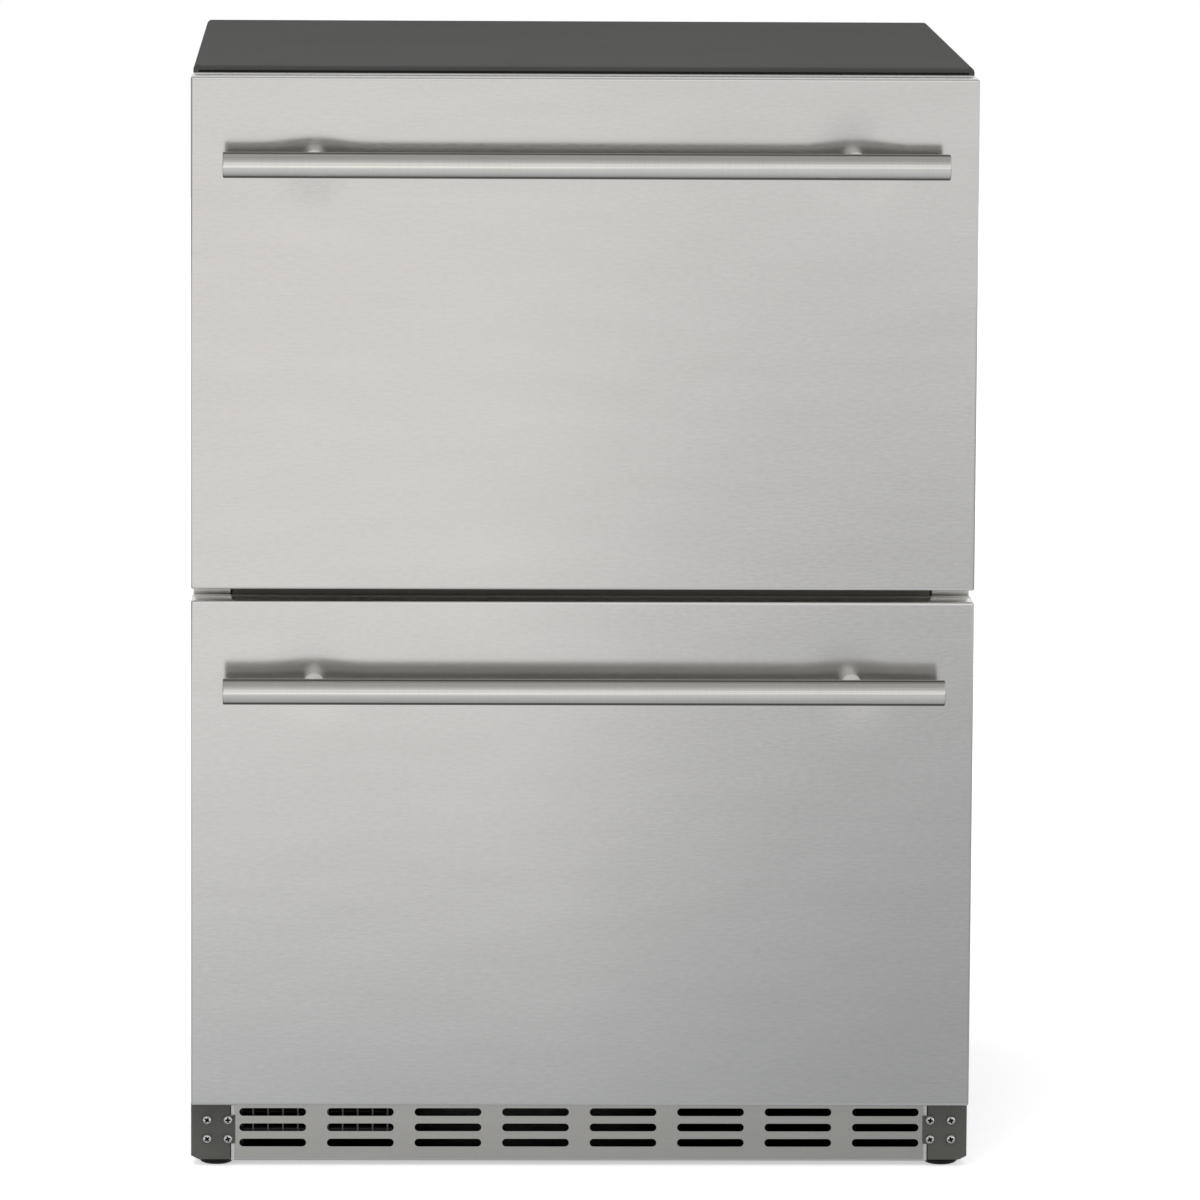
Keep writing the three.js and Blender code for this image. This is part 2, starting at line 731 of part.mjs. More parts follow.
function addDrainPan() {
  const left = condenserFanX - trayWidth / 2;
  const right = condenserFanX + trayWidth / 2;
  const back = coverY - coverSheet - trayBackGap;
  const front = back - trayDepth;
  const tray = block([left, right], [front, back], [floorSeatZ, floorSeatZ + trayHeight]);
  const inside = block(
    [left + traySheet, right - traySheet],
    [front + traySheet, back - traySheet],
    [floorSeatZ + traySheet, floorSeatZ + trayHeight + 1],
  );
  addPiece('drain_pan', tray.subtract(inside), materials.greyPlastic);
}

function coolerBottomZ() {
  return ceilingZ - coolerCoverDrop - coolerCoverHeight + coilLift;
}

// Fin-and-tube coil on the liner's back wall, with the fan above it and a cover over both.
function addCooler() {
  const coilBack = linerBackY - seat;
  const coilFront = coilBack - coilDepth;
  const low = coolerBottomZ();
  const parts = [];
  for (let fin = 0; fin < finCount; fin += 1) {
    const x = -coilWidth / 2 + (fin * coilWidth) / (finCount - 1);
    parts.push(block([x - finSheet / 2, x + finSheet / 2], [coilFront, coilBack], [low, low + coilHeight]));
  }
  const middleY = (coilFront + coilBack) / 2;
  const rise = coilHeight / coilTubes;
  const reach = coilWidth / 2 + coilBendReach;
  const points = [];
  for (let row = 0; row < coilTubes; row += 1) {
    const z = low + (row + 0.5) * rise;
    const run = [[-reach, middleY, z], [reach, middleY, z]];
    points.push(...(row % 2 ? run.reverse() : run));
  }
  parts.push(tubeAlong(points, coilTubeRadius, 6));
  const lastZ = low + (coilTubes - 0.5) * rise;
  parts.push(bar([lineX, middleY, lastZ], [lineX, middleY, low + coilHeight], lineRadius, 10));
  addPiece('evaporator_coil', joined(parts), materials.aluminium);
  addPiece('refrigerant_line', tubeAlong(linePath(), lineRadius), materials.copper);

  const fanZ = ceilingZ - coolerCoverDrop - coolerFanDrop;
  const motorFront = linerBackY - seat - coolerMotorLength;
  const motor = bar([0, motorFront, fanZ], [0, linerBackY - seat, fanZ], coolerMotorRadius, 20);
  const bladeBack = motorFront - 2;
  const shaft = bar([0, bladeBack - coolerFanWidth - 1, fanZ], [0, motorFront + 1, fanZ], coolerShaftRadius);
  addPiece('evaporator_fan_motor', motor.add(shaft), materials.greyPlastic);
  const blade = fanBlade(0, bladeBack - coolerFanWidth, fanZ, coolerFanRadius, coolerFanWidth,
    coolerHubRadius, coolerShaftRadius + running);
  addPiece('evaporator_fan_blade', blade, materials.blackPlastic);

  const half = coolerCoverWidth / 2;
  const top = ceilingZ - coolerCoverDrop;
  const bottom = top - coolerCoverHeight;
  const frontY = linerBackY - coolerCoverDepth;
  const wall = coolerCoverSheet;
  const shell = block([-half, half], [frontY, linerBackY - seat], [bottom, top]);
  const room = block([-half + wall, half - wall], [frontY + wall, linerBackY + 1], [bottom + wall, top - wall]);
  const cutters = [room, bar([0, frontY - 1, fanZ], [0, frontY + wall + 1, fanZ], coolerFanRadius + coolerOpeningMargin, 32)];
  for (let i = -2; i <= 2; i += 1) {
    const slotX = (i * coolerCoverWidth) / 6;
    cutters.push(slotCutter(slotX, bottom + coolerSlotLift, coolerCoverWidth / 8, coolerSlotHeight, frontY - 1, frontY + wall + 1));
  }
  addPiece('evaporator_cover', cutBy(shell, cutters), materials.linerPlastic);
}

// Control housing under the ceiling, with a light lens and two buttons in its underside.
function addControls() {
  const half = housingWidth / 2;
  const frontY = faceY + housingSetback;
  const backSideY = frontY + housingDepth;
  const top = ceilingZ - seat;
  const bottom = top - housingHeight;
  const wall = housingSheet;
  const shelfZ = bottom + wall;
  const shell = block([-half, half], [frontY, backSideY], [bottom, top]);
  const room = block([-half + wall, half - wall], [frontY + wall, backSideY - wall], [shelfZ, top + 1]);
  const middleY = (frontY + backSideY) / 2;
  const lensX = half - lensWidth / 2 - lensEdge;
  const across = (x, width, y, depth, z0, z1) =>
    block([x - width / 2, x + width / 2], [y - depth / 2, y + depth / 2], [z0, z1]);
  const cutters = [room, across(lensX, lensWidth, middleY, lensDepth, bottom - 1, shelfZ + 1)];
  const buttonXs = [0, 1].map((i) => -half + buttonEdge + i * buttonPitch);
  for (const x of buttonXs) {
    cutters.push(across(x, buttonWidth, middleY, buttonDepth, bottom - 1, shelfZ + 1));
  }
  addPiece('control_housing', cutBy(shell, cutters), materials.greyPlastic);

  const lip = captiveLip;
  const lensPane = across(lensX, lensWidth - 2 * seat, middleY, lensDepth - 2 * seat, bottom - 0.6, shelfZ + 1);
  const lensLip = across(lensX, lensWidth + lip, middleY, lensDepth + lip, shelfZ + seat, shelfZ + seat + 1.2);
  addPiece('light_lens', lensPane.add(lensLip), materials.lens);

  buttonXs.forEach((x, i) => {
    const cap = across(x, buttonWidth - 2 * seat, middleY, buttonDepth - 2 * seat,
      bottom - buttonTravel - 0.6, shelfZ + 1);
    const flange = across(x, buttonWidth + lip, middleY, buttonDepth + lip, shelfZ + seat, shelfZ + seat + 1.2);
    addPiece(`control_button_${i + 1}`, cap.add(flange), materials.buttonPlastic);
  });
}

// The three nested channels of one telescopic runner, each drawn in from the liner's wall.
const runnerStages = [
  { stage: 'outer', web: 0, reach: runnerReach, drawIn: 0, outward: true },
  { stage: 'middle', web: runnerSheet + runnerWebStep, reach: runnerReach - 1, drawIn: 1, outward: true },
  { stage: 'inner', web: runnerReach + seat, reach: runnerReach * 0.5, drawIn: 2, outward: false },
];

function runnerChannel(side, stage, centreZ, y0, y1) {
  const half = runnerHeight / 2 - stage.drawIn * (runnerSheet + running);
  const wallX = innerHalf - seat;
  const webOuter = wallX - stage.web;
  const webInner = webOuter - runnerSheet;
  const lipEnd = wallX - stage.reach;
  const spans = stage.outward ? [webOuter, lipEnd] : [webInner, lipEnd];
  const place = (a, b) => [side * a, side * b].sort((first, second) => first - second);
  const web = block(place(webOuter, webInner), [y0, y1], [centreZ - half, centreZ + half]);
  const top = block(place(...spans), [y0, y1], [centreZ + half - runnerSheet, centreZ + half]);
  const bottom = block(place(...spans), [y0, y1], [centreZ - half, centreZ - half + runnerSheet]);
  return joined([web, top, bottom]);
}

// One drawer: door, gasket, handle, bin and the runners that carry it.
function addDrawer(place, doorBottom, binFloor, binDepth, runnerLength) {
  const doorTop = doorBottom + doorHeight;
  const half = doorHalf;
  const returnY = doorFrontY + skinReturn;

  const shell = block([-half, half], [doorFrontY, returnY], [doorBottom, doorTop]);
  const hollow = block(
    [-half + skinSheet, half - skinSheet],
    [doorFrontY + skinSheet, returnY + 1],
    [doorBottom + skinSheet, doorTop - skinSheet],
  );
  addPiece(`${place}_door_skin`, shell.subtract(hollow), materials.stainless);

  const inset = skinSheet + seat;
  const filling = block(
    [-half + inset, half - inset],
    [doorFrontY + inset, doorBackY],
    [doorBottom + inset, doorTop - inset],
  );
  const backPanel = block([-half, half], [returnY + seat, doorBackY], [doorBottom, doorTop]);
  addPiece(`${place}_door_core`, filling.add(backPanel), materials.doorPlastic);

  const ringOuter = [half - gasketInset, doorBottom + gasketInset, doorTop - gasketInset];
  const ringY = [doorBackY + seat, faceY - seat];
  const ring = block([-ringOuter[0], ringOuter[0]], ringY, [ringOuter[1], ringOuter[2]]);
  const ringHalf = ringOuter[0] - gasketWidth;
  const ringHole = block(
    [-ringHalf, ringHalf],
    [doorBackY - 1, faceY + 1],
    [ringOuter[1] + gasketWidth, ringOuter[2] - gasketWidth],
  );
  addPiece(`${place}_door_gasket`, ring.subtract(ringHole), materials.gasketRubber);

  const barZ = doorTop - barDrop;
  const handle = [bar([-barHalf, barY, barZ], [barHalf, barY, barZ], barRadius, 24)];
  for (const x of [-barHalf + postInset, barHalf - postInset]) {
    handle.push(bar([x, barY, barZ], [x, doorFrontY - seat, barZ], postRadius, 16));
  }
  addPiece(`${place}_handle`, joined(handle), materials.stainless);

  const binFront = doorBackY + seat;
  const binBack = binFront + binDepth;
  const tub = block([-binHalf, binHalf], [binFront, binBack], [binFloor, binFloor + binHeight]);
  const inside = block(
    [-binHalf + binSheet, binHalf - binSheet],
    [binFront + binSheet, binBack - binSheet],
    [binFloor + binSheet, binFloor + binHeight + 1],
  );
  addPiece(`${place}_bin`, tub.subtract(inside), materials.binSteel);

  const runnerY = faceY + runnerSetback;
  const runnerZ = binFloor + runnerLift;
  for (const [sideName, side] of [['left', -1], ['right', 1]]) {
    for (const stage of runnerStages) {
      const channel = runnerChannel(side, stage, runnerZ, runnerY, runnerY + runnerLength);
      addPiece(`${place}_runner_${stage.stage}_${sideName}`, channel, materials.runnerZinc);
    }
  }
}

addWrapper();
addInsulationAndLiner();
addFrontFrame();
addRear();
addBasePan();
addLegs();
addGrille();
addBrackets();
addBracketScrews();
addCompressor();
addCondenser();
addCondenserFan();
addDrainPan();
addCooler();
addControls();
addDrawer('upper', upperDoorBottom, mullionTop + binFloorGap, upperBinDepth, upperRunnerLength);
addDrawer('lower', lowerDoorBottom, linerFloorHeight + binFloorGap, lowerBinDepth, lowerRunnerLength);

export default object;
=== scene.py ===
import json
import math
import re

import bmesh
import bpy
from mathutils import Matrix, Vector

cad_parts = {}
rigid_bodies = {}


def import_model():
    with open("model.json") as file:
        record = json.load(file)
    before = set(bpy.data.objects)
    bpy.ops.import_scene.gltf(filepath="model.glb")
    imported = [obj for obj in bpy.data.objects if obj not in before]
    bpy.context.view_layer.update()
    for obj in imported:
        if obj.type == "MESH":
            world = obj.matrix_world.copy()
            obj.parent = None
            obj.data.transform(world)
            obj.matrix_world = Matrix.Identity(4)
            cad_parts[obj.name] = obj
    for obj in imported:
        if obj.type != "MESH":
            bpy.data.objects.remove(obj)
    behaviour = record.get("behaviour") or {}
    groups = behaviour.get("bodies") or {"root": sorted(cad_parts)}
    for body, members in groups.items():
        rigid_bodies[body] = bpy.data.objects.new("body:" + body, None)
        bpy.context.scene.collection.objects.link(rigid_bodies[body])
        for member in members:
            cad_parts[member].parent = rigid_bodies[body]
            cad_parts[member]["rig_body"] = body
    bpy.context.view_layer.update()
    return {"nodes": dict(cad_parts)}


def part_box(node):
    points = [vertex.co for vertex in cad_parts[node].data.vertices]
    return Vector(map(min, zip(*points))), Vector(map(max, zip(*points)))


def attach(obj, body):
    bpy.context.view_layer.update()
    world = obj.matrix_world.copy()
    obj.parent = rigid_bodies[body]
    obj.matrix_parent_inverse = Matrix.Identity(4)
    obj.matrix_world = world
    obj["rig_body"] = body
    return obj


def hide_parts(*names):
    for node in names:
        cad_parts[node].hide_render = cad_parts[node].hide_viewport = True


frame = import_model()
nodes = frame["nodes"]
scene = bpy.context.scene
mm = 0.001  # shapes below are written in millimetres
smoothAngle = 38  # degrees up to which two faces are shaded as one
tubeAngle = 50  # the same for thin tubes, which have few sides
foldAngle = 40  # degrees from which an edge is eased: every fold and corner, but no facet of a curve
weldReach = 0.005  # points this near to each other become one


def linearColour(hexText):
    channels = [int(hexText[i:i + 2], 16) / 255 for i in (1, 3, 5)]
    return [c / 12.92 if c <= 0.04045 else ((c + 0.055) / 1.055) ** 2.4 for c in channels] + [1.0]


def addNode(tree, kind, inputs=None, **settings):
    node = tree.nodes.new(kind)
    for name, value in settings.items():
        setattr(node, name, value)
    for key, value in (inputs or {}).items():
        if isinstance(value, bpy.types.Node):
            value = next(output for output in value.outputs if output.enabled)
        if isinstance(value, bpy.types.NodeSocket):
            tree.links.new(value, node.inputs[key])
        else:
            node.inputs[key].default_value = value
    return node


def linkObject(name, mesh):
    piece = bpy.data.objects.new(name, mesh)
    scene.collection.objects.link(piece)
    return piece


def shadeMesh(mesh, angle=smoothAngle):
    mesh.shade_smooth()
    mesh.set_sharp_from_angle(angle=math.radians(angle))


def closeMesh(piece, angle=smoothAngle):
    work = bmesh.new()
    work.from_mesh(piece.data)
    bmesh.ops.remove_doubles(work, verts=work.verts, dist=weldReach * mm)
    bmesh.ops.recalc_face_normals(work, faces=work.faces)
    work.to_mesh(piece.data)
    work.free()
    shadeMesh(piece.data, angle)
    return piece


def makeObject(name, points, faces):
    mesh = bpy.data.meshes.new(name)
    mesh.from_pydata([Vector(p) * mm for p in points], [], faces)
    return closeMesh(linkObject(name, mesh))


def plainMesh(holder):
    graph = bpy.context.evaluated_depsgraph_get()
    return bpy.data.meshes.new_from_object(holder.evaluated_get(graph), depsgraph=graph)


def bakeModifiers(piece):
    mesh = plainMesh(piece)
    piece.modifiers.clear()
    piece.data = mesh
    mesh.name = piece.name
    return piece


def easeEdges(piece, width, segments=2):
    bevel = piece.modifiers.new("easedEdges", "BEVEL")
    bevel.width = width * mm
    bevel.segments = segments
    bevel.limit_method = "ANGLE"
    bevel.angle_limit = math.radians(foldAngle)
    bevel.harden_normals = True
    return bakeModifiers(piece)


def joinPieces(name, pieces):
    work = bmesh.new()
    for piece in pieces:
        work.from_mesh(piece.data)
        bpy.data.objects.remove(piece)
    mesh = bpy.data.meshes.new(name)
    work.to_mesh(mesh)
    work.free()
    shadeMesh(mesh)
    return linkObject(name, mesh)


# Skins a row of rings. A ring of one point ends in a tip, and rings joined end to end make a closed band.
def linkRings(name, rings, closed=False):
    points, faces, starts = [], [], []
    for ring in rings:
        starts.append(len(points))
        points += ring
    pairs = [(k, k + 1) for k in range(len(rings) - 1)]
    if closed:
        pairs.append((len(rings) - 1, 0))
    for a, b in pairs:
        countA, countB = len(rings[a]), len(rings[b])
        for i in range(max(countA, countB)):
            j = (i + 1) % max(countA, countB)
            corners = [starts[a] + i % countA, starts[a] + j % countA,
                       starts[b] + j % countB, starts[b] + i % countB]
            faces.append(list(dict.fromkeys(corners)))
    if not closed:
        for k in (0, len(rings) - 1):
            if len(rings[k]) > 2:
                faces.append([starts[k] + i for i in range(len(rings[k]))])
    return makeObject(name, points, faces)


def roundLoop(halfA, halfB, radius, steps):
    points = []
    for corner, (signA, signB) in enumerate([(1, 1), (-1, 1), (-1, -1), (1, -1)]):
        for i in range(steps + 1):
            turn = math.pi / 2 * (corner + i / steps)
            points.append((signA * (halfA - radius) + radius * math.cos(turn),
                           signB * (halfB - radius) + radius * math.sin(turn)))
    return points


def turnTo(axis, a, b, level):
    return {"X": (level, a, b), "Y": (a, level, b), "Z": (a, b, level)}[axis]


# A pressing or moulding: rounded rectangles, one behind the other along an axis.
def pressShape(name, axis, centre, stations, steps=3, closed=False):
    rings = []
    for halfA, halfB, radius, level in stations:
        ring = roundLoop(halfA, halfB, radius, steps)
        rings.append([turnTo(axis, centre[0] + a, centre[1] + b, level) for a, b in ring])
    return linkRings(name, rings, closed)


def boxOf(node):
    low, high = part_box(node)
    return [value / mm for pair in zip(low, high) for value in pair]


# A pressing that follows a node's sides. The line gives how far in from them, and the level. The corner is
# its radius at the sides, how much of it each millimetre inwards takes off, and its least radius.
def pressAlong(name, node, axis, line, corner, steps=3, closed=False):
    x0, x1, y0, y1, z0, z1 = boxOf(node)
    a0, a1, b0, b1 = (x0, x1, z0, z1) if axis == "Y" else (x0, x1, y0, y1)
    radius, shrink, least = corner
    return pressShape(name, axis, ((a0 + a1) / 2, (b0 + b1) / 2), [
        ((a1 - a0) / 2 - inset, (b1 - b0) / 2 - inset, max(radius - inset * shrink, least), level)
        for inset, level in line], steps, closed)


# A turned piece: circles of given radius and level round an axis.
def turnShape(name, axis, centre, profile, segments=48, closed=False):
    angles = [2 * math.pi * (i + 0.5) / segments for i in range(segments)]
    rings = [[turnTo(axis, centre[0] + radius * math.cos(t), centre[1] + radius * math.sin(t), level)
              for t in (angles if radius else angles[:1])] for radius, level in profile]
    return linkRings(name, rings, closed)


def roundCorners(points, radius, steps=5):
    path = [Vector(points[0])]
    for before, corner, after in zip(points, points[1:], points[2:]):
        corner = Vector(corner)
        toBefore = (Vector(before) - corner).normalized()
        toAfter = (Vector(after) - corner).normalized()
        half = toBefore.angle(toAfter) / 2
        centre = corner + (toBefore + toAfter).normalized() * radius / math.sin(half)
        start = corner + toBefore * radius / math.tan(half) - centre
        end = corner + toAfter * radius / math.tan(half) - centre
        path += [centre + start.slerp(end, i / steps).normalized() * radius for i in range(steps + 1)]
    return path + [Vector(points[-1])]


# Sheet metal folded along a path seen end-on, and run along an axis. The sheet lies to the path's left.
def foldSheet(name, axis, path, radius, sheet, span):
    outer = roundCorners([(a, b, 0) for a, b in path], radius)
    inner = []
    for i, point in enumerate(outer):
        ahead = (outer[min(i + 1, len(outer) - 1)] - point).normalized()
        behind = (point - outer[max(i - 1, 0)]).normalized()
        along = (ahead + behind).normalized()
        normal = Vector((-along.y, along.x, 0))
        isEnd = not (ahead.length and behind.length)
        bend = 1 if isEnd else max(0.2, math.sqrt(max(0.0, (1 + ahead.dot(behind)) / 2)))
        inner.append(point + normal * sheet / bend)
    section = [(p.x, p.y) for p in outer] + [(p.x, p.y) for p in reversed(inner)]
    return linkRings(name, [[turnTo(axis, a, b, level) for a, b in section] for level in span])


def bendTube(name, points, radius, bend):
    path = roundCorners(points, bend) if bend else [Vector(p) for p in points]
    curve = bpy.data.curves.new(name, "CURVE")
    curve.dimensions = "3D"
    curve.bevel_depth = radius * mm
    curve.bevel_resolution = 3
    curve.use_fill_caps = True
    spline = curve.splines.new("POLY")
    spline.points.add(len(path) - 1)
    for point, place in zip(spline.points, path):
        point.co = (*(place * mm), 1)
    holder = linkObject(name, curve)
    mesh = plainMesh(holder)
    bpy.data.objects.remove(holder)
    return closeMesh(linkObject(name, mesh), tubeAngle)


# The solid's own shape from the frame, merged, with its edges eased.
def easedCopy(node, name, width, segments=2, reshape=None):
    sameReach, flatAngle = 0.002, 0.5  # points this near are one, and so are faces within this many degrees
    piece = linkObject(name, nodes[node].data.copy())
    if "custom_normal" in piece.data.attributes:
        piece.data.attributes.remove(piece.data.attributes["custom_normal"])
    work = bmesh.new()
    work.from_mesh(piece.data)
    bmesh.ops.remove_doubles(work, verts=work.verts, dist=sameReach * mm)
    bmesh.ops.dissolve_limit(work, angle_limit=math.radians(flatAngle), verts=work.verts, edges=work.edges)
    work.to_mesh(piece.data)
    work.free()
    for vertex in piece.data.vertices if reshape else []:
        vertex.co = Vector(reshape(*(vertex.co / mm))) * mm
    piece.data.materials.clear()
    shadeMesh(piece.data)
    return easeEdges(piece, width, segments)


# Texture directions for sheet: U runs along the grain on every face, V across it, in metres.
def layGrain(piece):
    mesh = piece.data
    grain = mesh.uv_layers.new(name="grain")
    for face in mesh.polygons:
        along, across = ((1, 2), (0, 2), (0, 1))[max(range(3), key=lambda i: abs(face.normal[i]))]
        for corner in face.loop_indices:
            place = mesh.vertices[mesh.loops[corner].vertex_index].co
            grain.data[corner].uv = (place[along], place[across])


# Finishes a piece and rides it on a body, or on that of the nodes that it replaces. A slot name is worked out
# from the finish, as in door_steel for doorSteel, unless another is given, but it is not kept.
def fitPiece(piece, finish, *replaced, body=None, slot=None):
    piece.data.materials.clear()
    piece.data.materials.append(finishes[finish])
    layGrain(piece)
    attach(piece, body or nodes[replaced[0]]["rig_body"])
    if replaced:
        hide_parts(*replaced)
    slot or re.sub("[A-Z]", lambda capital: "_" + capital.group().lower(), finish)
    return piece


# Gives the faces that the test picks a second finish.
def dressFaces(piece, finish, test):
    piece.data.materials.append(finishes[finish])
    for face in piece.data.polygons:
        if test(face):
            face.material_index = len(piece.data.materials) - 1


# Opens a geometry node tree with named inputs. Each tree ends in real, dressed geometry.
def startTree(name, sockets):
    tree = bpy.data.node_groups.new(name, "GeometryNodeTree")
    tree.interface.new_socket("Geometry", in_out="INPUT", socket_type="NodeSocketGeometry")
    for label, kind in sockets.items():
        tree.interface.new_socket(label, in_out="INPUT", socket_type="NodeSocket" + kind)
    tree.interface.new_socket("Geometry", in_out="OUTPUT", socket_type="NodeSocketGeometry")
    return tree, addNode(tree, "NodeGroupInput").outputs


def endTree(tree, shape, given):
    real = addNode(tree, "GeometryNodeRealizeInstances", {"Geometry": shape})
    dressed = addNode(tree, "GeometryNodeSetMaterial", {"Geometry": real, "Material": given["Finish"]})
    addNode(tree, "NodeGroupOutput", {"Geometry": dressed})
    return tree


def runTree(piece, tree, values):
    modifier = piece.modifiers.new("repeat", "NODES")
    modifier.node_group = tree
    for item in tree.interface.items_tree:
        if item.in_out == "INPUT" and item.name in values:
            modifier[item.identifier] = values[item.name]
    return closeMesh(bakeModifiers(piece))


# Copies of the piece's own mesh in a straight row.
def makeRowTree():
    tree, given = startTree("row", {"Count": "Int", "Step": "Vector", "Finish": "Material"})
    line = addNode(tree, "GeometryNodeMeshLine", {"Count": given["Count"], "Offset": given["Step"]})
    copies = addNode(tree, "GeometryNodeInstanceOnPoints", {"Points": line, "Instance": given["Geometry"]})
    return endTree(tree, copies, given)


# Copies of the piece's own mesh, turned round an axis through a centre.
def makeRoundTree():
    tree, given = startTree("round", {
        "Count": "Int", "Axis": "Vector", "Centre": "Vector", "Finish": "Material"})
    line = addNode(tree, "GeometryNodeMeshLine", {
        "Count": given["Count"], "Start Location": given["Centre"], "Offset": (0, 0, 0)})
    index = addNode(tree, "GeometryNodeInputIndex")
    part = addNode(tree, "ShaderNodeMath", {0: index, 1: given["Count"]}, operation="DIVIDE")
    angle = addNode(tree, "ShaderNodeMath", {0: part, 1: 2 * math.pi}, operation="MULTIPLY")
    turn = addNode(tree, "FunctionNodeAxisAngleToRotation", {"Axis": given["Axis"], "Angle": angle})
    copies = addNode(tree, "GeometryNodeInstanceOnPoints", {
        "Points": line, "Instance": given["Geometry"], "Rotation": turn})
    return endTree(tree, copies, given)


# A fastener at each vertex of the piece's mesh, each turned a different way about its own axis.
def makeFastenerTree():
    tree, given = startTree("fasteners", {
        "Fastener": "Object", "Axis": "Vector", "Seed": "Int", "Finish": "Material"})
    source = addNode(tree, "GeometryNodeObjectInfo", {"Object": given["Fastener"]})
    chance = addNode(tree, "FunctionNodeRandomValue", {"Seed": given["Seed"]}, data_type="FLOAT")
    angle = addNode(tree, "ShaderNodeMath", {0: chance, 1: math.pi / 2}, operation="MULTIPLY")
    turn = addNode(tree, "FunctionNodeAxisAngleToRotation", {"Axis": given["Axis"], "Angle": angle})
    copies = addNode(tree, "GeometryNodeInstanceOnPoints", {
        "Points": given["Geometry"], "Instance": source.outputs["Geometry"], "Rotation": turn})
    return endTree(tree, copies, given)


# A flat sheet punched with rows of round-ended slots. It stands in XZ, and its back face is at Place's Y.
def makeSlottedTree():
    tree, given = startTree("slottedSheet", {
        "Width": "Float", "Height": "Float", "Thickness": "Float", "Columns": "Int", "Rows": "Int",
        "Slot Length": "Float", "Slot Height": "Float", "Pitch X": "Float", "Pitch Z": "Float",
        "Slot Lift": "Float", "Place": "Vector", "Finish": "Material"})
    sheet, slot = (addNode(tree, "GeometryNodeCurvePrimitiveQuadrilateral", {
        "Width": given[wide], "Height": given[high]}) for wide, high in (
        ("Width", "Height"), ("Slot Length", "Slot Height")))
    endShare = 0.498  # of a slot's height is its ends' radius, a hair under half so that they stay apart
    radius = addNode(tree, "ShaderNodeMath", {0: given["Slot Height"], 1: endShare}, operation="MULTIPLY")
    roundSlot = addNode(tree, "GeometryNodeFilletCurve", {
        "Curve": slot, "Count": 7, "Radius": radius}, mode="POLY")
    spans = []
    for count, pitch in (("Columns", "Pitch X"), ("Rows", "Pitch Z")):
        gaps = addNode(tree, "ShaderNodeMath", {0: given[count], 1: 1}, operation="SUBTRACT")
        spans.append(addNode(tree, "ShaderNodeMath", {0: gaps, 1: given[pitch]}, operation="MULTIPLY"))
    grid = addNode(tree, "GeometryNodeMeshGrid", {
        "Size X": spans[0], "Size Y": spans[1], "Vertices X": given["Columns"], "Vertices Y": given["Rows"]})
    slots = addNode(tree, "GeometryNodeInstanceOnPoints", {
        "Points": grid.outputs["Mesh"], "Instance": roundSlot})
    lift = addNode(tree, "ShaderNodeCombineXYZ", {"Y": given["Slot Lift"]})
    lifted = addNode(tree, "GeometryNodeTransform", {"Geometry": slots, "Translation": lift})
    realSlots = addNode(tree, "GeometryNodeRealizeInstances", {"Geometry": lifted})
    lines = addNode(tree, "GeometryNodeJoinGeometry", {"Geometry": sheet})
    tree.links.new(realSlots.outputs[0], lines.inputs[0])
    flat = addNode(tree, "GeometryNodeFillCurve", {"Curve": lines}, mode="NGONS")
    push = addNode(tree, "ShaderNodeCombineXYZ", {"Z": given["Thickness"]})
    thick = addNode(tree, "GeometryNodeExtrudeMesh", {
        "Mesh": flat, "Offset": push, "Offset Scale": 1.0, "Individual": False}, mode="FACES")
    under = addNode(tree, "GeometryNodeFlipFaces", {"Mesh": flat})
    both = addNode(tree, "GeometryNodeJoinGeometry", {"Geometry": thick.outputs["Mesh"]})
    tree.links.new(under.outputs[0], both.inputs[0])
    stood = addNode(tree, "GeometryNodeTransform", {
        "Geometry": both, "Rotation": (math.pi / 2, 0, 0), "Translation": given["Place"]})
    return endTree(tree, stood, given)


rowTree = makeRowTree()
roundTree = makeRoundTree()
fastenerTree = makeFastenerTree()
slottedTree = makeSlottedTree()
print("trees built")


def startMaterial(name, **sockets):
    material = bpy.data.materials.new(name)
    material.use_nodes = True
    tree = material.node_tree
    tree.nodes.clear()
    shader = addNode(tree, "ShaderNodeBsdfPrincipled", {
        key.replace("_", " "): value for key, value in sockets.items()})
    addNode(tree, "ShaderNodeOutputMaterial", {"Surface": shader})
    return material, tree, shader


def feed(tree, shader, **sources):
    for key, node in sources.items():
        output = next(o for o in node.outputs if o.enabled)
        tree.links.new(output, shader.inputs[key.replace("_", " ")])


# What every finish has: a tint between two tones, an uneven gloss and a shallow relief, each led by a
# pattern. The relief is its strength and its depth in millimetres.
def layFinish(tree, shader, tones, tintBy, gloss, glossBy, relief, reliefBy):
    tint = addNode(tree, "ShaderNodeMix", {0: tintBy, 6: linearColour(tones[0]), 7: linearColour(tones[1])},
                   data_type="RGBA")
    rough = addNode(tree, "ShaderNodeMapRange", {"Value": glossBy, "To Min": gloss[0], "To Max": gloss[1]})
    height = addNode(tree, "ShaderNodeBump", {"Height": reliefBy, "Strength": relief[0],
                                              "Distance": relief[1] * mm})
    feed(tree, shader, Base_Color=tint, Roughness=rough, Normal=height)
    return tint


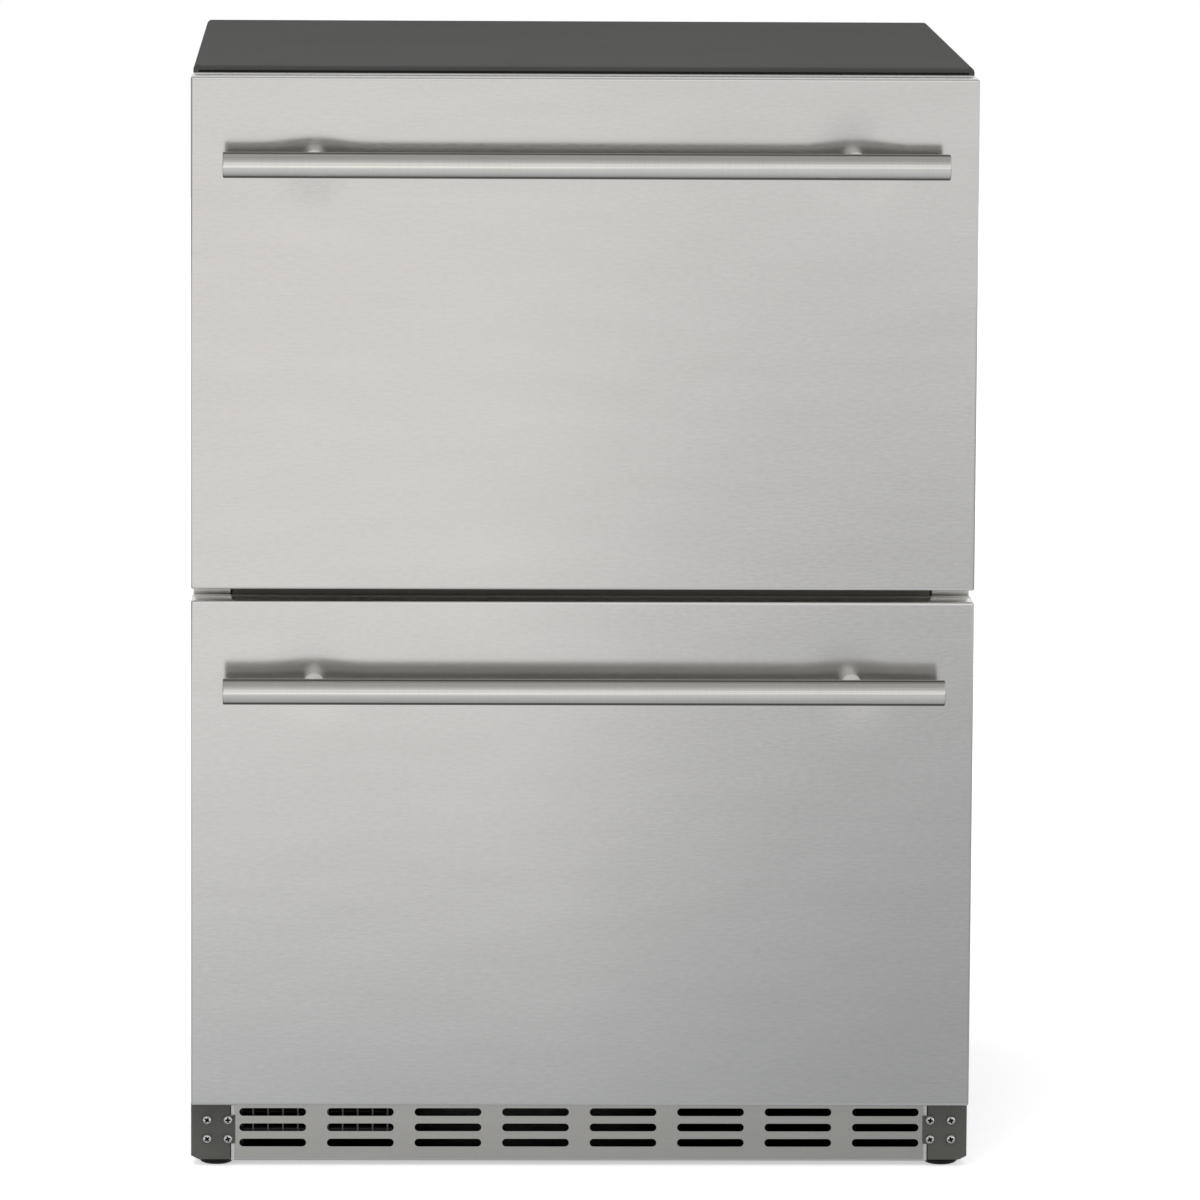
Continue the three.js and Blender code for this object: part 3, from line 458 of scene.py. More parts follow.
# Stainless sheet, brushed on a belt: long fine lines along the sheet, and highlights that spread across them.
def brushedSheet(name, look):
    material, tree, shader = startMaterial(name, Metallic=1.0, Anisotropic=look["spread"],
                                           Anisotropic_Rotation=0.25)
    place = addNode(tree, "ShaderNodeUVMap", uv_map="grain")
    lines = addNode(tree, "ShaderNodeMapping", {
        "Vector": place, "Scale": (1 / look["lineLength"] / mm, 1 / look["lineWidth"] / mm, 1)})
    streaks = addNode(tree, "ShaderNodeTexNoise", {
        "Vector": lines, "Scale": 1.0, "Detail": 5.0, "Roughness": 0.62})
    broad = addNode(tree, "ShaderNodeMapping", {"Vector": place, "Scale": (8, 40, 1)})  # bands 125 by 25 mm
    bands = addNode(tree, "ShaderNodeTexNoise", {"Vector": broad, "Scale": 1.0, "Detail": 2.0})
    line, rough = streaks.outputs["Fac"], look["roughness"]
    tint = layFinish(tree, shader, (look["dark"], look["light"]), line, (rough - 0.05, rough + 0.05), line,
                     (look["relief"], 0.03), line)
    blend = addNode(tree, "ShaderNodeMix", {0: bands.outputs["Fac"], 6: tint, 7: linearColour(look["cast"])},
                    data_type="RGBA", blend_type="MULTIPLY")
    tangent = addNode(tree, "ShaderNodeTangent", direction_type="UV_MAP", uv_map="grain")
    feed(tree, shader, Base_Color=blend, Tangent=tangent)
    return material


# Paint on sheet steel: even colour with a faint orange peel, a few millimetres from ripple to ripple.
def paintedSheet(name, look):
    material, tree, shader = startMaterial(name, Metallic=0.0, IOR=1.5, Specular_IOR_Level=look["shine"],
                                           Coat_Weight=look["coat"], Coat_Roughness=0.25)
    place = addNode(tree, "ShaderNodeTexCoord").outputs["Object"]
    peel = addNode(tree, "ShaderNodeTexNoise", {
        "Vector": place, "Scale": 1 / look["ripple"] / mm, "Detail": 3.0})
    clouds = addNode(tree, "ShaderNodeTexNoise", {
        "Vector": place, "Scale": 9.0, "Detail": 4.0})  # 110 mm wide
    ripple, rough = peel.outputs["Fac"], look["roughness"]
    layFinish(tree, shader, (look["dark"], look["light"]), clouds.outputs["Fac"],
              (rough - 0.06, rough + 0.06), ripple, (0.25, 0.05), ripple)
    return material


# Moulded plastic: a fine spark-eroded grain, drawn at about a millimetre so that it shows.
def mouldedPlastic(name, look):
    material, tree, shader = startMaterial(name, Metallic=0.0, IOR=1.49,
                                           Specular_IOR_Level=look.get("shine", 0.5))
    place = addNode(tree, "ShaderNodeTexCoord").outputs["Object"]
    pits = addNode(tree, "ShaderNodeTexNoise", {
        "Vector": place, "Scale": 1 / look["grain"] / mm, "Detail": 2.0, "Roughness": 0.6})
    clouds = addNode(tree, "ShaderNodeTexNoise", {
        "Vector": place, "Scale": 25.0, "Detail": 3.0})  # 40 mm wide
    grain, rough = pits.outputs["Fac"], look["roughness"]
    layFinish(tree, shader, (look["dark"], look["light"]), clouds.outputs["Fac"],
              (rough - 0.07, rough + 0.07), grain, (look["relief"], 0.08), grain)
    return material


# Zinc-coated steel: crystals a few millimetres wide that differ a little in grey and in gloss.
def zincCoated(name, look):
    material, tree, shader = startMaterial(name, Metallic=1.0)
    place = addNode(tree, "ShaderNodeTexCoord").outputs["Object"]
    crystals = addNode(tree, "ShaderNodeTexVoronoi", {
        "Vector": place, "Scale": 1 / look["crystal"] / mm, "Randomness": 1.0})
    grey = addNode(tree, "ShaderNodeSeparateColor", {"Color": crystals.outputs["Color"]})
    haze = addNode(tree, "ShaderNodeTexNoise", {"Vector": place, "Scale": 30.0, "Detail": 4.0})  # 33 mm wide
    layFinish(tree, shader, (look["dark"], look["light"]), grey,
              (look["roughness"] - 0.08, look["roughness"] + 0.1), haze.outputs["Fac"],
              (0.12, 0.05), crystals.outputs["Distance"])
    return material


# Drawn or turned metal: fine lines, so many to the metre along each axis, and a slightly uneven tone. A rim
# colour paints a dark reflection on the outline of a polished round bar, where it would mirror the dark ends
# of the room.
def drawnMetal(name, look):
    material, tree, shader = startMaterial(name, Metallic=look.get("metal", 1.0))
    place = addNode(tree, "ShaderNodeTexCoord").outputs["Object"]
    lines = addNode(tree, "ShaderNodeMapping", {"Vector": place, "Scale": look["lines"]})
    streaks = addNode(tree, "ShaderNodeTexNoise", {"Vector": lines, "Scale": 1.0, "Detail": 3.0})
    clouds = addNode(tree, "ShaderNodeTexNoise", {
        "Vector": place, "Scale": 18.0, "Detail": 3.0})  # 55 mm wide
    line, rough = streaks.outputs["Fac"], look["roughness"]
    mixed = addNode(tree, "ShaderNodeMath", {0: line, 1: clouds.outputs["Fac"]},
                    operation="MULTIPLY", use_clamp=True)
    tint = layFinish(tree, shader, (look["light"], look["dark"]), mixed, (rough - 0.05, rough + 0.06), line,
                     (0.1, 0.02), line)
    # painted reflection: the rim colour darkens the surface where it turns away from view
    if "rim" in look:
        slant = addNode(tree, "ShaderNodeLayerWeight", {"Blend": 0.5})
        outline = addNode(tree, "ShaderNodeMapRange", {
            "Value": slant.outputs["Facing"], "From Min": 0.38, "From Max": 0.52
        }, interpolation_type="SMOOTHSTEP")
        paintedRimTint = addNode(tree, "ShaderNodeMix", {0: outline, 6: tint, 7: linearColour(look["rim"])},
                         data_type="RGBA")
        feed(tree, shader, Base_Color=paintedRimTint)
    return material


# Rigid polyurethane foam: pale yellow cells 2 mm wide, with a skin that is darker in patches.
def closedCellFoam(name):
    material, tree, shader = startMaterial(name, Metallic=0.0, IOR=1.45)
    place = addNode(tree, "ShaderNodeTexCoord").outputs["Object"]
    cells = addNode(tree, "ShaderNodeTexVoronoi", {"Vector": place, "Scale": 450.0}).outputs["Distance"]
    patches = addNode(tree, "ShaderNodeTexNoise", {"Vector": place, "Scale": 22.0, "Detail": 4.0})
    layFinish(tree, shader, ("#e3d49a", "#c9b678"), patches.outputs["Fac"], (0.8, 0.95), cells,
              (0.6, 0.4), cells)
    return material


# Frosted acrylic: milky, with fine prism lines that scatter the light.
def frostedAcrylic(name):
    material, tree, shader = startMaterial(name, Metallic=0.0, IOR=1.49, Transmission_Weight=0.35,
                                           Subsurface_Weight=0.2)
    place = addNode(tree, "ShaderNodeTexCoord").outputs["Object"]
    prisms = addNode(tree, "ShaderNodeTexWave", {
        "Vector": place, "Scale": 130.0, "Distortion": 0.2}, bands_direction="X")
    haze = addNode(tree, "ShaderNodeTexNoise", {"Vector": place, "Scale": 60.0, "Detail": 3.0}).outputs["Fac"]
    layFinish(tree, shader, ("#eef1ef", "#f8faf8"), haze, (0.25, 0.4), haze, (0.4, 0.3),
              prisms.outputs["Fac"])
    return material


finishes = {
    # 304 stainless door sheet, brushed on a belt: a soft mirror with a level grain. Its real lines are 0.1 mm
    # apart, drawn 1.6 mm so that they show
    "doorSteel": brushedSheet("brushedStainlessDoorSheet", {
        "dark": "#cccac8", "light": "#e0dfdd", "cast": "#f6f6f5", "roughness": 0.13, "spread": 0.35,
        "lineLength": 7, "lineWidth": 1.6, "relief": 0.07}),
    # where the sheet is folded over, and on its top faces, a paler copy of the door sheet: painted highlight
    "doorEdgeHighlight": brushedSheet("burnishedStainlessEdge", {
        "dark": "#f4f3f0", "light": "#fbfaf8", "cast": "#fdfdfc", "roughness": 0.2, "spread": 0.2,
        "lineLength": 22, "lineWidth": 0.85, "relief": 0.0}),
    # pale copy of the grille sheet on its end strips and the foot of its front: painted highlight, rough so
    # that it scatters the light
    "grilleEdgeHighlight": brushedSheet("groundStainlessEdge", {
        "dark": "#efeeec", "light": "#f6f5f3", "cast": "#fcfcfb", "roughness": 0.5, "spread": 0.0,
        "lineLength": 10, "lineWidth": 0.8, "relief": 0.1}),
    # the same sheet unpolished, round the opening: a little duller
    "frameSteel": brushedSheet("brushedStainlessFrameSheet", {
        "dark": "#d6d4d0", "light": "#dfddd9", "cast": "#f6f6f4", "roughness": 0.2, "spread": 0.2,
        "lineLength": 26, "lineWidth": 0.9, "relief": 0.1}),
    # 430 stainless, brushed and warm grey
    "grilleSteel": brushedSheet("brushedStainlessGrilleSheet", {
        "dark": "#c4c2bd", "light": "#cfcdc8", "cast": "#f4f3f0", "roughness": 0.24, "spread": 0.3,
        "lineLength": 26, "lineWidth": 1.0, "relief": 0.15}),
    # stainless bin pressing, rolled finish: soft and pale
    "binSteel": brushedSheet("rolledStainlessBinSheet", {
        "dark": "#dfe0df", "light": "#e9eae9", "cast": "#fafafa", "roughness": 0.42, "spread": 0.3,
        "lineLength": 70, "lineWidth": 1.2, "relief": 0.2}),
    # stainless tube, polished round its axis: bright line highlights, and a rim colour that paints a dark
    # reflection along the bar's outline
    "handleSteel": drawnMetal("polishedStainlessTube", {
        "light": "#edebe6", "dark": "#d9d7d2", "roughness": 0.065, "lines": (900, 60, 60), "rim": "#6c6a67"}),
    # the tube's far side, painted darker as the shade that the light from the front leaves there: seen only
    # in the door
    "handleShadedBack": drawnMetal("unpolishedStainlessTube", {
        "light": "#a5a39e", "dark": "#93918c", "roughness": 0.3, "lines": (900, 60, 60)}),
    # die-cast posts under a pale lacquer, which scatters the light from above
    "postLacquer": drawnMetal("lacqueredZincPost", {
        "light": "#e4e3e0", "dark": "#d8d7d3", "roughness": 0.3, "lines": (500, 500, 500), "metal": 0.4}),
    # a paler, rougher copy of the tube's finish, without the dark rim, on the lower bar's upper back: painted
    # light that brightens what the door mirrors
    "paintedLightTubeTop": drawnMetal("beadBlastedStainless", {
        "light": "#f6f5f2", "dark": "#e8e7e3", "roughness": 0.52, "lines": (500, 500, 500)}),
    # epoxy powder coat, sprayed thin: dark grey and nearly matt
    "shellPaint": paintedSheet("darkGreyPowderCoat", {
        "dark": "#4d4d4c", "light": "#535352", "roughness": 0.75, "ripple": 2.2, "coat": 0.0, "shine": 0.03}),
    # the same coat on thick plate: a shade lighter, with a soft sheen on the bends
    "bracketPaint": paintedSheet("charcoalPowderCoat", {
        "dark": "#595955", "light": "#676763", "roughness": 0.5, "ripple": 1.2, "coat": 0.0, "shine": 0.3}),
    # baked black enamel, glossier and smooth
    "blackEnamel": paintedSheet("bakedBlackEnamel", {
        "dark": "#0c0c0c", "light": "#121212", "roughness": 0.36, "ripple": 3.0, "coat": 0.2, "shine": 0.4}),
    # moulded ABS between the doors: brown, and dim in the shade of the gap
    "mullionPlastic": mouldedPlastic("darkBrownAbs", {
        "dark": "#847c72", "light": "#8e867c", "roughness": 0.4, "grain": 0.9, "relief": 0.3}),
    # polystyrene sheet, vacuum-formed: white, smooth and soft in gloss
    "linerPlastic": mouldedPlastic("vacuumFormedWhitePolystyrene", {
        "dark": "#e4e4e1", "light": "#ecece9", "roughness": 0.38, "grain": 2.5, "relief": 0.12}),
    # the same sheet behind the doors: greyer and glossier
    "doorPlastic": mouldedPlastic("paleGreyPolystyrene", {
        "dark": "#e0e0dd", "light": "#e9e9e6", "roughness": 0.25, "grain": 1.4, "relief": 0.05}),
    # moulded polypropylene: black with a waxy sheen
    "blackPlastic": mouldedPlastic("blackPolypropylene", {
        "dark": "#0e0e0e", "light": "#151515", "roughness": 0.5, "grain": 0.8, "relief": 0.3, "shine": 0.3}),
    # moulded ABS housings: slate grey, with an even fine grain
    "greyPlastic": mouldedPlastic("slateGreyAbs", {
        "dark": "#464849", "light": "#4f5153", "roughness": 0.48, "grain": 0.9, "relief": 0.3}),
    # moulded ABS buttons: darker than their housing, and smoother from the fingers
    "buttonPlastic": mouldedPlastic("charcoalButtonAbs", {
        "dark": "#28292b", "light": "#313335", "roughness": 0.36, "grain": 0.7, "relief": 0.15}),
    # extruded PVC gasket: soft, dull and dark
    "gasketRubber": mouldedPlastic("softPvcGasket", {
        "dark": "#333231", "light": "#3e3d3c", "roughness": 0.68, "grain": 0.6, "relief": 0.2}),
    # hot-dipped steel sheet: broad spangles in cool greys
    "zincSheet": zincCoated("hotDipGalvanisedSheet", {
        "light": "#b4b8ba", "dark": "#9da1a4", "roughness": 0.36, "crystal": 7.0}),
    # zinc sheet of the base pan, painted nearly black as shade, so that the slots look dark
    "panZinc": zincCoated("blackPassivatedZincSheet", {
        "light": "#2b2c2d", "dark": "#222324", "roughness": 0.5, "crystal": 5.0}),
    # electroplated runners: paler, brighter and finer in crystal
    "runnerZinc": zincCoated("brightZincPlatedSteel", {
        "light": "#c2c5c7", "dark": "#b4b8ba", "roughness": 0.28, "crystal": 2.0}),
    # dipped wire: dull grey, streaked along its length
    "wireZinc": drawnMetal("galvanisedWire", {
        "light": "#9b9ea0", "dark": "#85888b", "roughness": 0.5, "lines": (80, 80, 400)}),
    # painted shade: the screws' crosses are coloured dark, as the shade in them
    "paintedRecessShade": mouldedPlastic("oiledRecess", {
        "dark": "#1a1614", "light": "#241f1c", "roughness": 0.6, "grain": 0.4, "relief": 0.2, "shine": 0.2}),
    # cold-headed stainless screws: bright, with a small hot highlight
    "screwSteel": drawnMetal("stainlessScrewHead", {
        "light": "#eceae8", "dark": "#dcdad7", "roughness": 0.2, "lines": (500, 500, 500)}),
    # drawn copper: warm, and dulled in patches by handling
    "lineCopper": drawnMetal("drawnCopperTube", {
        "light": "#bf7c4e", "dark": "#9b5a34", "roughness": 0.3, "lines": (300, 300, 60)}),
    # rolled fin stock: pale and cool, lined along the rolling
    "coilAluminium": drawnMetal("rolledAluminiumFin", {
        "light": "#d0d3d5", "dark": "#b3b7ba", "roughness": 0.35, "lines": (60, 60, 500)}),
    "insulation": closedCellFoam("closedCellPolyurethane"),
    "lensPlastic": frostedAcrylic("frostedAcrylicLens"),
}
print("materials built")

quarterTurn = [math.radians(15 * k) for k in range(7)]  # a bend in six steps

# cabinet: a folded wrapper, and a lip over the doors with a black strip under it as painted shadow, and a
# plate at each corner
shell = {"sheet": 1.2, "bend": 4.0, "lip": 4.0, "lipBend": 1.4, "lipInset": 4.0, "frontEdge": 1.5,
         "shadowStrip": 1.7, "shadowStripSet": 0.35, "plateSet": 0.25, "plateInset": 0.5, "plateDrop": 0.1, "plateLap": 0.3}
x0, x1, y0, y1, z0, z1 = boxOf("cabinet_wrapper")
foldY, lipX = y0 + shell["frontEdge"], x1 - shell["lipInset"]
lipEnd = z1 - shell["lip"]
shadowStripEnd = lipEnd - shell["shadowStrip"]
wrapper = foldSheet("wrapper", "Y", [(x1, z0), (x1, z1), (x0, z1), (x0, z0)], shell["bend"], shell["sheet"],
                    (foldY, y1))
lip = foldSheet("lip", "X", [(foldY, z1), (y0, z1), (y0, lipEnd)], shell["lipBend"], shell["sheet"],
                (-lipX, lipX))
# painted shadow: a black strip under the lip stands for the shade in the gap over the doors
shadowStrip = pressShape("lipSeal", "Y", (0, (lipEnd + shadowStripEnd) / 2), [
    (lipX, shell["shadowStrip"] / 2, 0.2, y) for y in (y0 + shell["shadowStripSet"], foldY)])
cornerPlates = []
for side in (-1, 1):
    outer, inner, r = side * (x1 - shell["plateInset"]), side * (lipX - shell["plateLap"]), shell["bend"]
    top = z1 - shell["plateDrop"]
    edge = [(inner, shadowStripEnd), (outer, shadowStripEnd)]
    edge += [(outer - side * r * (1 - math.cos(a)), top - r * (1 - math.sin(a))) for a in quarterTurn]
    edge.append((inner, top))
    cornerPlates.append(linkRings("cornerPlate", [
        [turnTo("Y", a, b, level) for a, b in edge] for level in (y0 + shell["plateSet"], foldY + 1)]))
shellPiece = fitPiece(joinPieces("cabinetShell", [wrapper, lip, shadowStrip] + cornerPlates), "shellPaint",
                      "cabinet_wrapper")
# painted shadow: the strip's faces take black
dressFaces(shellPiece, "blackPlastic", lambda face: shadowStripEnd - 0.1 < face.center.z / mm < lipEnd and
           abs(face.center.x) / mm < lipX + 0.1 and face.center.y / mm < y0 + 2)

fitPiece(easedCopy("front_frame", "openingFrame", 0.35), "frameSteel", "front_frame")
fitPiece(easedCopy("center_mullion", "dividerBeam", 2.5, 3), "mullionPlastic", "center_mullion")
nodes["cabinet_foam"].material_slots[0].material = finishes["insulation"]

# pan head with a cross recess; all but the sides are shares of its radius, its height or the recess
screwHead = {"sides": 24, "line": [(1, 0), (1, 0.2), (0.96, 0.48), (0.86, 0.76), (0.74, 0.93), (0.64, 1)],
             "cross": (0.56, 0.2), "taper": (0.45, 0.2), "floor": 0.1}


# A head that stands up from level 0 towards +Z. The faces of its recess are marked.
def makeHead(name, radius, height):
    n, line = screwHead["sides"], screwHead["line"]
    angles = [2 * math.pi * i / n for i in range(n)]
    points = [(radius * wide * math.cos(t), radius * wide * math.sin(t), height * rise)
              for wide, rise in line for t in angles]
    faces = [[k * n + i, k * n + (i + 1) % n, (k + 1) * n + (i + 1) % n, (k + 1) * n + i]
             for k in range(len(line) - 1) for i in range(n)]
    faces.append(list(range(n)))
    top, rim = len(points) - n, len(points)
    wide, narrow = (radius * share for share in screwHead["cross"])
    corners = [(wide, narrow), (narrow, narrow), (narrow, wide)]
    for quarter in range(3):
        corners += [(-b, a) for a, b in corners[-3:]]
    taper = dict(zip((wide, narrow), screwHead["taper"]))
    points += [(a, b, height) for a, b in corners]
    points += [(a * taper[abs(a)], b * taper[abs(b)], height * screwHead["floor"]) for a, b in corners]
    m = len(corners)
    recess = [[rim + i, rim + (i + 1) % m, rim + m + (i + 1) % m, rim + m + i] for i in range(m)]
    recess.append([rim + m + i for i in range(m)])
    mesh = bpy.data.meshes.new(name)
    mesh.from_pydata([Vector(p) * mm for p in points], [], faces + recess)
    marks = mesh.attributes.new("recess", "INT", "FACE")
    for i in range(len(faces), len(faces) + len(recess)):
        marks.data[i].value = 1
    work = bmesh.new()
    work.from_mesh(mesh)
    work.verts.ensure_lookup_table()
    edges = [work.edges.get((work.verts[start + i], work.verts[start + (i + 1) % count]))
             for start, count in ((top, n), (rim, m)) for i in range(count)]
    bmesh.ops.triangle_fill(work, edges=edges, use_beauty=True)
    work.to_mesh(mesh)
    work.free()
    return closeMesh(linkObject(name, mesh), 30)


# Screws of one size at given places. They face along Y, to the back with facing 1 and to the front with -1.
def setScrews(name, look, facing, places, *replaced):
    head = makeHead(name + "Head", look["head"], look["height"])
    head.data.transform(Matrix.Rotation(-facing * math.pi / 2, 4, "X"))
    screws = runTree(makeObject(name, places, []), fastenerTree, {
        "Fastener": head, "Axis": (0.0, 1.0, 0.0), "Seed": look["seed"], "Finish": finishes["screwSteel"]})
    bpy.data.objects.remove(head)
    marks = [mark.value for mark in screws.data.attributes["recess"].data]
    fitPiece(screws, "screwSteel", *replaced, body="cabinet")
    # painted shade: the faces of each cross recess take the dark finish
    dressFaces(screws, "paintedRecessShade", lambda face: marks[face.index] == 1)


# rear panel: sheet sunk inside a flat border, with screws round it
rear = {"border": 18.0, "recess": 0.8, "screwInset": 26.0, "screwRise": (-1, -0.33, 0.33, 1),
        "screwX": (-90, 90)}
rearScrew = {"head": 3.4, "height": 0.8, "seed": 3}
x0, x1, y0, y1, z0, z1 = boxOf("rear_panel")
halfX, halfZ, midZ = (x1 - x0) / 2, (z1 - z0) / 2, (z0 + z1) / 2
border, sunk = rear["border"], y1 - rear["recess"]
rearLine = [(0, 3, y0), (0, 3, y1 - 0.4), (0.1, 3, y1 - 0.15), (0.4, 3, y1), (1, 3, y1), (border, 8, y1),
            (border + 1.5, 7, sunk), (border + 3, 6, sunk)]  # inset, corner, level
rearSheet = pressShape("rearSheet", "Y", ((x0 + x1) / 2, midZ), [
    (halfX - inset, halfZ - inset, corner, y) for inset, corner, y in rearLine])
fitPiece(rearSheet, "zincSheet", "rear_panel")
inX, inZ = halfX - rear["screwInset"], halfZ - rear["screwInset"]
rearPlaces = [(side * inX, sunk, midZ + rise * inZ) for side in (-1, 1) for rise in rear["screwRise"]]
rearPlaces += [(x, sunk, midZ + side * inZ) for side in (-1, 1) for x in rear["screwX"]]
setScrews("rearScrews", rearScrew, 1, rearPlaces)


# A sheet with rows of slots, between two heights. Its back is at the given Y, and its slots are lifted off
# its middle.
def punchSheet(name, width, low, high, backY, sheet, slots, lift, finish):
    return runTree(makeObject(name, [], []), slottedTree, {
        "Width": width * mm, "Height": (high - low) * mm, "Thickness": sheet * mm,
        "Columns": slots["columns"], "Rows": slots["rows"],
        "Slot Length": slots["slotLength"] * mm, "Slot Height": slots["slotHeight"] * mm,
        "Pitch X": slots["pitchX"] * mm, "Pitch Z": slots["pitchZ"] * mm, "Slot Lift": lift * mm,
        "Place": (0, backY * mm, (low + high) / 2 * mm), "Finish": finishes[finish]})


# cover of the machine compartment, vented on both sides
cover = {"slotLength": 150.0, "slotHeight": 5.0, "pitchX": 180.0, "pitchZ": 16.0, "columns": 2, "rows": 7,
         "screwX": (-286, -96, 96, 286), "screwInset": 9.0, "middleScrewZ": 130.0}
coverScrew = {"head": 3.6, "height": 1.8, "seed": 5}
x0, x1, y0, y1, z0, z1 = boxOf("machine_room_cover")
coverSheet = punchSheet("coverSheet", x1 - x0, z0, z1, y1, y1 - y0, cover, 0.0, "zincSheet")
fitPiece(easeEdges(coverSheet, 0.25), "zincSheet", "machine_room_cover")
screwRows = (z0 + cover["screwInset"], z1 - cover["screwInset"])
coverPlaces = [(x, y1, z) for x in cover["screwX"] for z in screwRows]
coverPlaces += [(x, y1, cover["middleScrewZ"]) for x in (cover["screwX"][0], cover["screwX"][-1])]
setScrews("coverScrews", coverScrew, 1, coverPlaces)
print("shell built")

# liner: one cavity with a step over the machine compartment
liner = {"sheet": 2.0, "corner": 9.0, "stepFront": 60.0, "stepTop": 285.0}
x0, x1, y0, y1, z0, z1 = boxOf("inner_liner")
left, right, back, low, high = (x0 + liner["sheet"], x1 - liner["sheet"], y1 - liner["sheet"],
                                z0 + liner["sheet"], z1 - liner["sheet"])
outlineYZ = [(y0, low), (liner["stepFront"], low), (liner["stepFront"], liner["stepTop"]),
             (back, liner["stepTop"]), (back, high), (y0, high)]
corners = len(outlineYZ)
linerFaces = [[i for i in reversed(range(corners))], [corners + i for i in range(corners)]]
linerFaces += [[i, i + 1, i + 1 + corners, i + corners] for i in range(corners - 1)]  # the front stays open
cavity = makeObject("compartmentLiner", [(x, y, z) for x in (left, right) for y, z in outlineYZ], linerFaces)
easeEdges(cavity, liner["corner"], 4)
wall = cavity.modifiers.new("wall", "SOLIDIFY")
wall.thickness = liner["sheet"] * mm
wall.offset = 1.0
fitPiece(closeMesh(bakeModifiers(cavity)), "linerPlastic", "inner_liner")
print("liner built")

# doors: a folded skin over a foamed core, with a gasket and a bar handle each
door = {"sheet": 1.0, "edge": 1.8, "corner": 1.6, "hem": 0.5, "coreCorner": 1.6, "gasketCorner": 1.2,
        "dish": {"upper": 0.9, "lower": 0.6}, "dishFlat": 6.0, "dishReach": 20.0, "dishStep": 5.0,
        "dishSteps": 12}
# inset from the door's edge, and depth
gasketLine = [(9, 0), (8.2, 0.6), (9, 1.6), (10.6, 2.2), (9.2, 2.9), (8.4, 4), (9.4, 5.4), (22.6, 5.4),
              (23.6, 4), (22.8, 2.9), (21.4, 2.2), (23, 1.6), (23.8, 0.6), (23, 0)]
# the last entry gives how far back a face of the bar has to look to take the painted shade of its back
handle = {"radius": 10.0, "endRound": 0.9, "postRadius": 7.0, "postInset": 69.5, "foot": 0.8,
          "shadedBackFrom": {"upper": 0.78, "lower": 0.96}}


# The posts' screws draw the thin sheet in a little, which bends what it mirrors round each post.
def dishSheet(skin, frontY, posts, depth):
    onFront = 1e-6  # metres from the front within which a point is on it
    work = bmesh.new()
    work.from_mesh(skin.data)
    offsets = [door["dishStep"] * k for k in range(-door["dishSteps"], door["dishSteps"] + 1)]
    cuts = [((x + offset, 0, 0), (1, 0, 0)) for x, z in posts for offset in offsets]
    cuts += [((0, 0, posts[0][1] + offset), (0, 0, 1)) for offset in offsets]
    for place, direction in cuts:
        faces = [face for face in work.faces if face.normal.y < -0.999 and
                 abs(face.calc_center_median().y - frontY * mm) < onFront]
        edges = {edge for face in faces for edge in face.edges}
        corners = {corner for face in faces for corner in face.verts}
        bmesh.ops.bisect_plane(work, geom=faces + list(edges) + list(corners), plane_co=Vector(place) * mm,
                               plane_no=direction)
    for vertex in work.verts:
        if abs(vertex.co.y - frontY * mm) < onFront:
            away = min(math.hypot(vertex.co.x / mm - x, vertex.co.z / mm - z) for x, z in posts)
            sunk = depth * math.exp(-(max(away - door["dishFlat"], 0) / door["dishReach"]) ** 2)
            vertex.co.y += sunk * mm
    work.to_mesh(skin.data)
    work.free()
    return closeMesh(skin)


